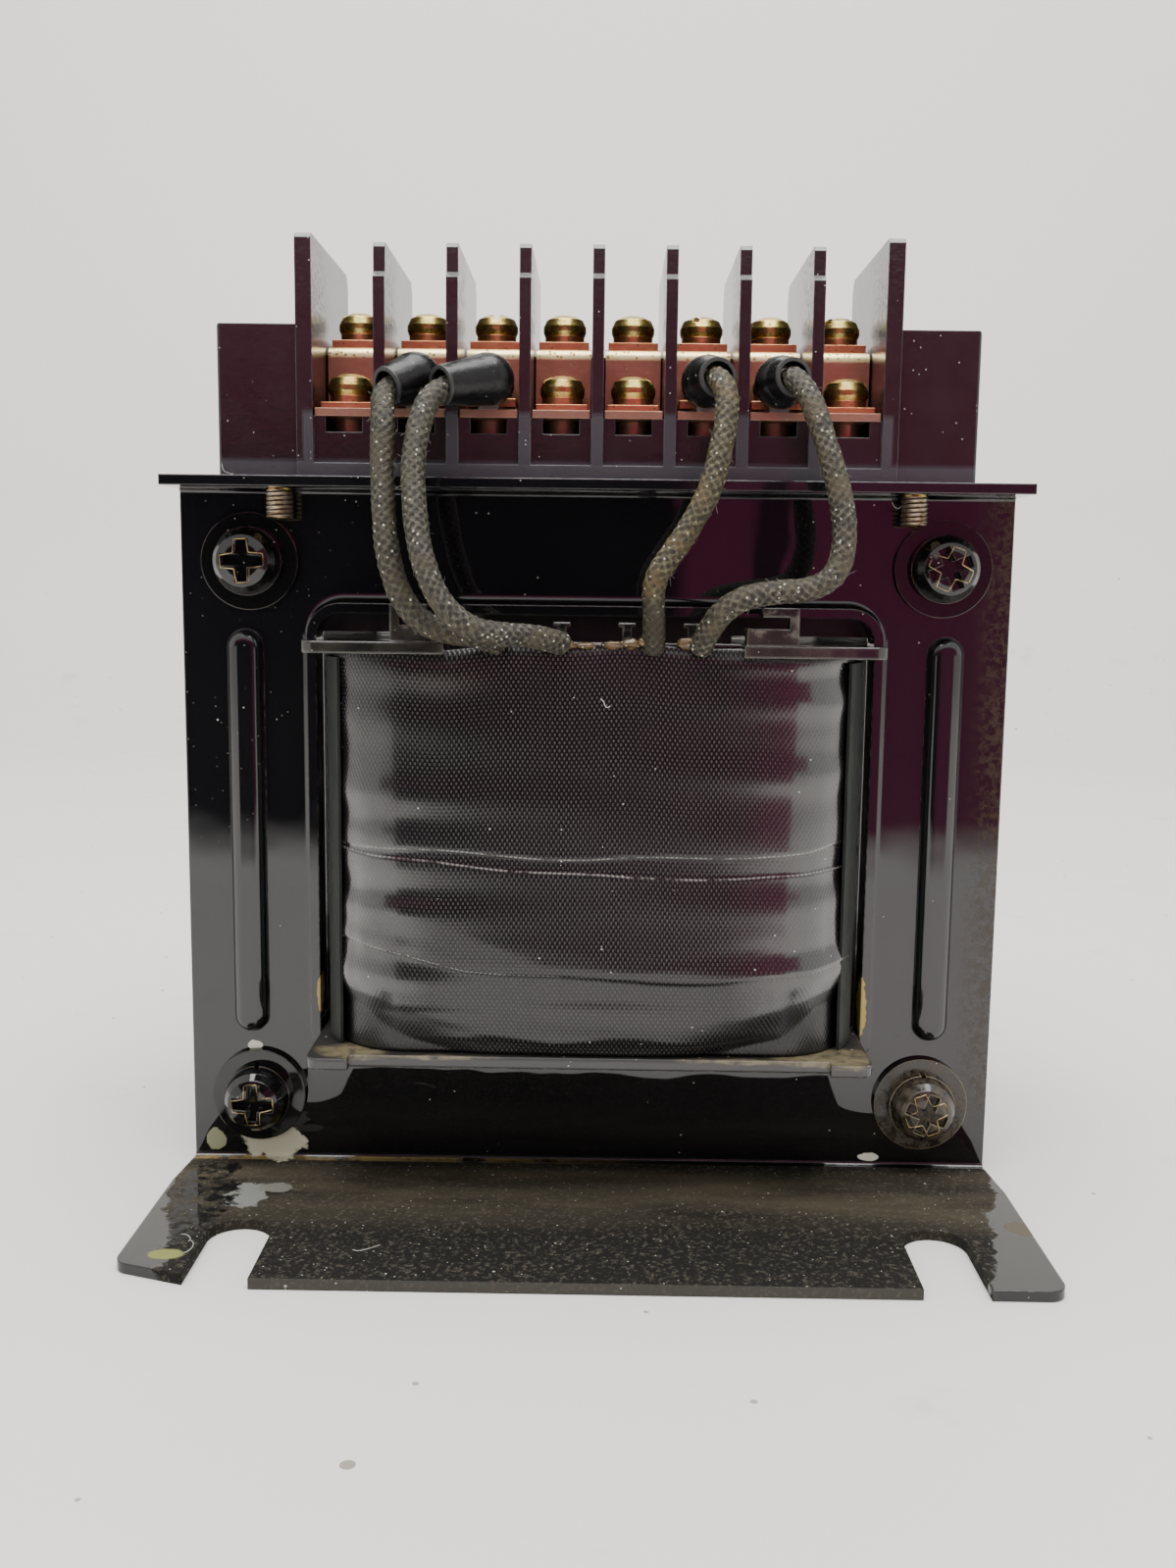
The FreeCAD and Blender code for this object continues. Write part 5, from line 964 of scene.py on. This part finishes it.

# %% [markdown]
# The cloth's own colour is nearly black. Varnish fills the weave at the upper left, at the right
# and a little along the bottom, and there it shines like a skin. Elsewhere the raised crossings
# of the weave catch the light, so they are paler than the hollows. Along the laps pale cut
# threads stick out, and just under each lap runs a dotted line of painted shadow. Under the
# fold the cloth carries painted shade.

# %% Cloth tape: finish and piece
tape = Coats("varnished cloth tape", (0.0068, 0.0064, 0.0063), 0.23, IOR=1.52, Coat_IOR=1.66,
             Coat_Roughness=0.17)
threads_uv = add(tape.tree, "UVMap", uv_map="threads").outputs[0]
count_across = add(tape.tree, "SeparateXYZ", {0: threads_uv}).outputs[0]
crossings = tape.use(WEAVE, "Mask", UV=threads_uv)
left_edge = both(ramp(tape.x, -22, -32), ramp(tape.z, 88, 58))
filled = both(either(left_edge, ramp(tape.x, 18, 30), both(ramp(tape.z, 43, 37), 0.15)),
              tape.cloud(60, 0.15, 0.5))
tape.lay(filled, varnish=1.0)
tape.lay(both(crossings, maths("SUBTRACT", 0.9, both(filled, 0.6))), (0.07, 0.06, 0.063), 0.26)
tape.lay(both(tape.cloud(45, 0.42, 0.7, (1.0, 1.0, 2.5)), 0.35), (0.012, 0.011, 0.012), 0.16)
brown_stain = tape.patch((-20, -48, 84), (11, 6, 3.2), 0.4, 120, 0.9)
tape.lay(both(brown_stain, crossings, 0.4), (0.1, 0.06, 0.025), 0.4)
comb = span(maths("SINE", maths("MULTIPLY", count_across, math.pi)), -0.5, 0.3)
broken = tape.cloud(260, 0.4, 0.52)
FRAYED = [("lap_a", -0.08, 0.1, 1.0), ("lap_b", -0.16, 0.04, 1.0),
          ("lap_c", -0.02, 0.12, ramp(tape.x, 4, -14))]
for label, low, high, where in FRAYED:
    lap = tape.stored(label)
    cut_threads = both(within(lap, low, high, 0.07), either(comb, 0.3), broken, where)
    tape.lay(both(cut_threads, 0.9), (0.22, 0.215, 0.2), 0.5)
    # A dotted line of painted shadow just under each lap edge.
    tape.lay(both(within(lap, -0.42, -0.24, 0.06), comb, 0.9), (0.002, 0.002, 0.002), 0.6)
tape.lay(tape.dots(640, 0.14, 0.09), (0.42, 0.4, 0.35), 0.8)
foot_dust = both(ramp(tape.z, 29.5, 26.2), ramp(maths("ABSOLUTE", tape.x), 24, 36),
                 tape.cloud(300, 0.35, 0.65), 0.6)
tape.lay(foot_dust, (0.14, 0.12, 0.075), 0.4)
# Painted shade: the cloth under the fold is made near black and unvarnished.
tape.lay(both(tape.stored("shade_under_fold"), 0.9), (0.004, 0.004, 0.0045), 0.3, varnish=0.0)
tape.bump(tape.use(RIPPLE, Scale=90.0), 0.12)
tape.bump(tape.use(WEAVE, "Height", UV=threads_uv), 0.02)

coil_tape = grid_piece("coil_tape", tape_grid * MM, tape.done(), wrap_rows=True, wrap_columns=True,
                       uv_step=(2 * round(perimeter / THREAD_ACROSS / 2) / TAPE_COLUMNS,
                                (COIL_TOP - COIL_FOOT) / (TAPE_ROWS - 5) / THREAD_UP),
                       **above_laps)
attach(coil_tape, "transformer")
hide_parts("tape_wrap")

# %% [markdown]
# Small things that a solid leaves out: the brass line round each driver cross, amber resin
# between the posts, threads on the tips of the block's fixing screws, and lint. All are tubes or
# grids from the same helpers.

# %% Brass lines round the driver crosses
CROSS_REACH = 3.4
CROSS_HALF_ARM = 0.98
HEAD_SEAT = -32.34
HEAD_PROFILE = ([0, 2.7, 4.1, 4.94, 5.25], [4.0, 3.88, 3.32, 2.08, 1.0])
CROSSES = [(-BOLT_X, BOLT_HIGH, 3), (BOLT_X, BOLT_HIGH, -22), (-BOLT_X, BOLT_LOW, 5), (BOLT_X, BOLT_LOW, 21)]


def spin(turn):
    """The matrix that turns rows of x and z by some degrees."""
    angle = math.radians(turn)
    return np.array([[math.cos(angle), math.sin(angle)], [-math.sin(angle), math.cos(angle)]])


def cross_outline(turn):
    """Twelve corners of a plus sign, rounded a little by spreading stations between them."""
    arm, reach = CROSS_HALF_ARM, CROSS_REACH
    quarter = np.array([(reach, -arm), (reach, arm), (arm * 1.25, arm * 1.25), (arm, reach)])
    corners = np.concatenate([quarter @ spin(a) for a in (0, 90, 180, 270)])
    corners = np.concatenate([corners, corners[:1]])
    return evened(corners, running_length(corners), 97)[1] @ spin(turn)


brass = clouded("bared brass line", (0.62, 0.47, 0.24), 0.3, (420, 0.42, 0.6), (0.12, 0.09, 0.05), 0.5,
                Metallic=1.0)
loops = []
for x, z, turn in CROSSES:
    flat = cross_outline(turn)
    dome = np.interp(np.linalg.norm(flat, axis=1), *HEAD_PROFILE)
    loops.append(np.stack([x + flat[:, 0], HEAD_SEAT - dome - 0.02, z + flat[:, 1]], axis=1))
cross_lines = tubes("cross_lines", np.array(loops) * MM, 0.1 * MM, 6, brass)
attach(cross_lines, "transformer")

# %% Resin between the posts
resin = Coats("amber resin", (0.13, 0.08, 0.03), 0.16, IOR=1.55)
resin.lay(resin.cloud(900, 0.42, 0.62), (0.04, 0.026, 0.012), 0.3)
resin.lay(resin.dots(1700, 0.24, 0.22), (0.5, 0.4, 0.22), 0.4)
resin_material = resin.done()
BLOBS = [(-4.6, -46.9, 89.5, 2.1, 0.8), (-1.4, -46.7, 89.4, 1.6, 0.5), (3.0, -46.8, 89.5, 1.9, 0.6),
         (5.6, -46.9, 89.7, 1.6, 0.8), (13.9, -46.9, 89.9, 1.5, 0.8), (15.2, -47.0, 90.3, 0.9, 0.6),
         (-13.4, -47.9, 89.5, 1.2, 0.5), (7.3, -47.8, 90.1, 0.8, 0.7)]
polar = np.linspace(0.03, np.pi - 0.03, 13)[:, None]
around = np.linspace(0, 2 * np.pi, 20, endpoint=False)[None, :]
for index, (x, y, z, wide, high) in enumerate(BLOBS):
    uneven = 1 + 0.14 * wave_noise(polar * 2, around * 0 + np.cos(around) * 2, 90 + index, 1.2)
    grid = np.stack([x + wide * uneven * np.sin(polar) * np.cos(around),
                     y + 0.9 * uneven * np.sin(polar) * np.sin(around),
                     z + high * uneven * np.cos(polar)], axis=-1)
    blob = grid_piece("resin_blob_%d" % (index + 1), grid * MM, resin_material, wrap_columns=True)
    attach(blob, "transformer")

# %% Threads on the fixing screws
FIX_X, FIX_Y = 50.0, -32.8
FIX_LOW, FIX_HIGH = 108.25, 112.7
FIX_RADIUS, FIX_PITCH = 1.92, 0.7
steel = clouded("worn screw thread", (0.5, 0.42, 0.3), 0.32, (600, 0.45, 0.65), (0.2, 0.13, 0.07), 0.55,
                Metallic=1.0)
level = np.linspace(FIX_LOW, FIX_HIGH, 66)[:, None]
around = np.linspace(0, 2 * np.pi, 40, endpoint=False)[None, :]
phase = (level / FIX_PITCH - around / (2 * np.pi)) % 1.0
thread_radius = FIX_RADIUS + 0.26 * (1 - np.abs(2 * phase - 1)) ** 0.8
thread_radius[0] = 0.05
thread_radius[-1] = FIX_RADIUS - 0.1
for label, x in (("left", -FIX_X), ("right", FIX_X)):
    grid = np.stack(np.broadcast_arrays(x + thread_radius * np.cos(around),
                                        FIX_Y + thread_radius * np.sin(around), level), axis=-1)
    thread = grid_piece("fixing_thread_%s" % label, grid * MM, steel, wrap_columns=True)
    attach(thread, "transformer")

# %% Lint
white = clouded("white lint", (0.62, 0.6, 0.55), 0.7, (900, 0.4, 0.6), (0.4, 0.38, 0.34), 0.8)
LINT = [
    [(-58.0, -37.08, 116.4), (-57.6, -37.25, 115.2), (-57.0, -37.12, 114.95),
     (-56.4, -37.2, 114.7), (-56.2, -37.1, 114.9)],
    [(1.0, -49.3, 81.7), (1.5, -49.35, 81.2), (1.75, -49.3, 80.6),
     (2.1, -49.3, 80.3), (2.6, -49.3, 80.6)],
    [(-58.6, -62.4, 1.68), (-57.8, -63.6, 1.75), (-57.6, -65.0, 1.72),
     (-57.9, -66.2, 1.7), (-58.6, -67.0, 1.68)],
    [(-60.6, -60.5, 1.68), (-59.6, -60.9, 1.75), (-58.9, -61.6, 1.72),
     (-58.6, -62.4, 1.7), (-58.7, -63.0, 1.68)],
    [(-30.2, -63.0, 1.68), (-31.4, -64.2, 1.75), (-32.6, -65.0, 1.72),
     (-33.4, -65.2, 1.7), (-34.2, -64.8, 1.68)],
    [(46.6, -31.9, 112.0), (46.9, -32.6, 111.2), (47.5, -32.9, 110.9),
     (48.0, -32.8, 111.3), (48.4, -32.5, 111.6)],
]
lint = tubes("lint", np.array([curve_through(line, 17) for line in LINT]) * MM, 0.06 * MM, 5, white)
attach(lint, "transformer")

# %% [markdown]
# The stage: a pale bench that curves up into a pale wall, an even pale surround, and one large
# soft lamp above. A mirror needs something to mirror: a card behind the camera, seen only in
# reflections, gives the dark room that the black lacquer shows, with its wine-red side. It fades
# out towards the floor, casts no shadow and lights nothing, as a flag in a studio does.

# %% Bench and wall
COVE_START, COVE_RADIUS, WALL_TOP = 0.62, 0.16, 2.2
bend_angle = np.linspace(0, np.pi / 2, 25)
profile_y = np.concatenate([[-3.0, -1.0, 0.0, 0.3], COVE_START + COVE_RADIUS * np.sin(bend_angle),
                            [COVE_START + COVE_RADIUS]])
profile_z = np.concatenate([[0, 0, 0, 0], COVE_RADIUS * (1 - np.cos(bend_angle)), [WALL_TOP]])
across = np.linspace(-3, 3, 9)
sweep = np.stack(np.broadcast_arrays(across[None, ::-1], profile_y[:, None], profile_z[:, None]), axis=-1)
cream = Coats("bench", (0.81, 0.785, 0.76), 0.55)
cream.lay(both(cream.cloud(9, 0.4, 0.7), 0.35), (0.77, 0.745, 0.72), 0.6)
cream.lay(both(cream.cloud(26, 0.6, 0.74), cream.cloud(150, 0.4, 0.6), 0.5), (0.52, 0.49, 0.45), 0.7)
cream.lay(cream.dots(75, 0.05, 0.07), (0.3, 0.27, 0.23), 0.8)
cream.lay(cream.dots(240, 0.035, 0.12), (0.36, 0.33, 0.29), 0.8)
cream.lay(span(cream.z, 0.0, 0.2), (0.9, 0.87, 0.84), 0.6)
bench = grid_piece("bench", sweep, cream.done())

# %% Card that only reflections see
CARD_Y, CARD_FADE = -290, 20
CARD_DARK, CARD_WINE = (0.016, 0.016, 0.022), (0.46, 0.075, 0.2)
CARD_PARTS = {"reflection_card": (165, 0, 90), "reflection_card_wings": (322, 90, 229.2)}
card_material, tree, surface = bare_material("reflection card")
places = add(tree, "SeparateXYZ", {0: add(tree, "TexCoord").outputs["Object"]}).outputs
beside = ramp(places[0], 22.7, 32.5)
above = ramp(places[2], 132.6, 146.2)
streak = band(places[0], 51.7, 59.1, 3.6)
wine_mask = both(either(beside, above), maths("SUBTRACT", 1.0, both(streak, 0.85)))
glow = add(tree, "Emission", {"Color": blended(wine_mask, CARD_DARK, CARD_WINE), "Strength": 1.0})
faded = add(tree, "MixShader", {0: ramp(places[2], 0, CARD_FADE),
                                1: add(tree, "BsdfTransparent").outputs[0], 2: glow.outputs[0]})
wire(surface, faded.outputs[0])
for label, (half, low, high) in CARD_PARTS.items():
    flat = np.stack(np.meshgrid(np.linspace(-half, half, 3), np.linspace(low, high, 3)), axis=-1)
    card_grid = np.stack([flat[..., 0], np.full((3, 3), CARD_Y), flat[..., 1]], axis=-1)
    card = grid_piece(label, card_grid * MM, card_material)
    for ray in ("camera", "diffuse", "shadow", "transmission", "volume_scatter"):
        setattr(card, "visible_" + ray, False)

# %% Surround and lamp
world = bpy.data.worlds.new("studio")
bpy.context.scene.world = world
world.use_nodes = True
background = world.node_tree.nodes["Background"].inputs
background["Color"].default_value = (0.95, 0.945, 0.93, 1)
background["Strength"].default_value = 1.16
lamp_data = bpy.data.lights.new("soft top", "AREA")
lamp_data.size = 0.9
lamp_data.energy = 18.5
lamp = link(bpy.data.objects.new("soft top", lamp_data))
lamp.location = (0, -0.12, 1.1)
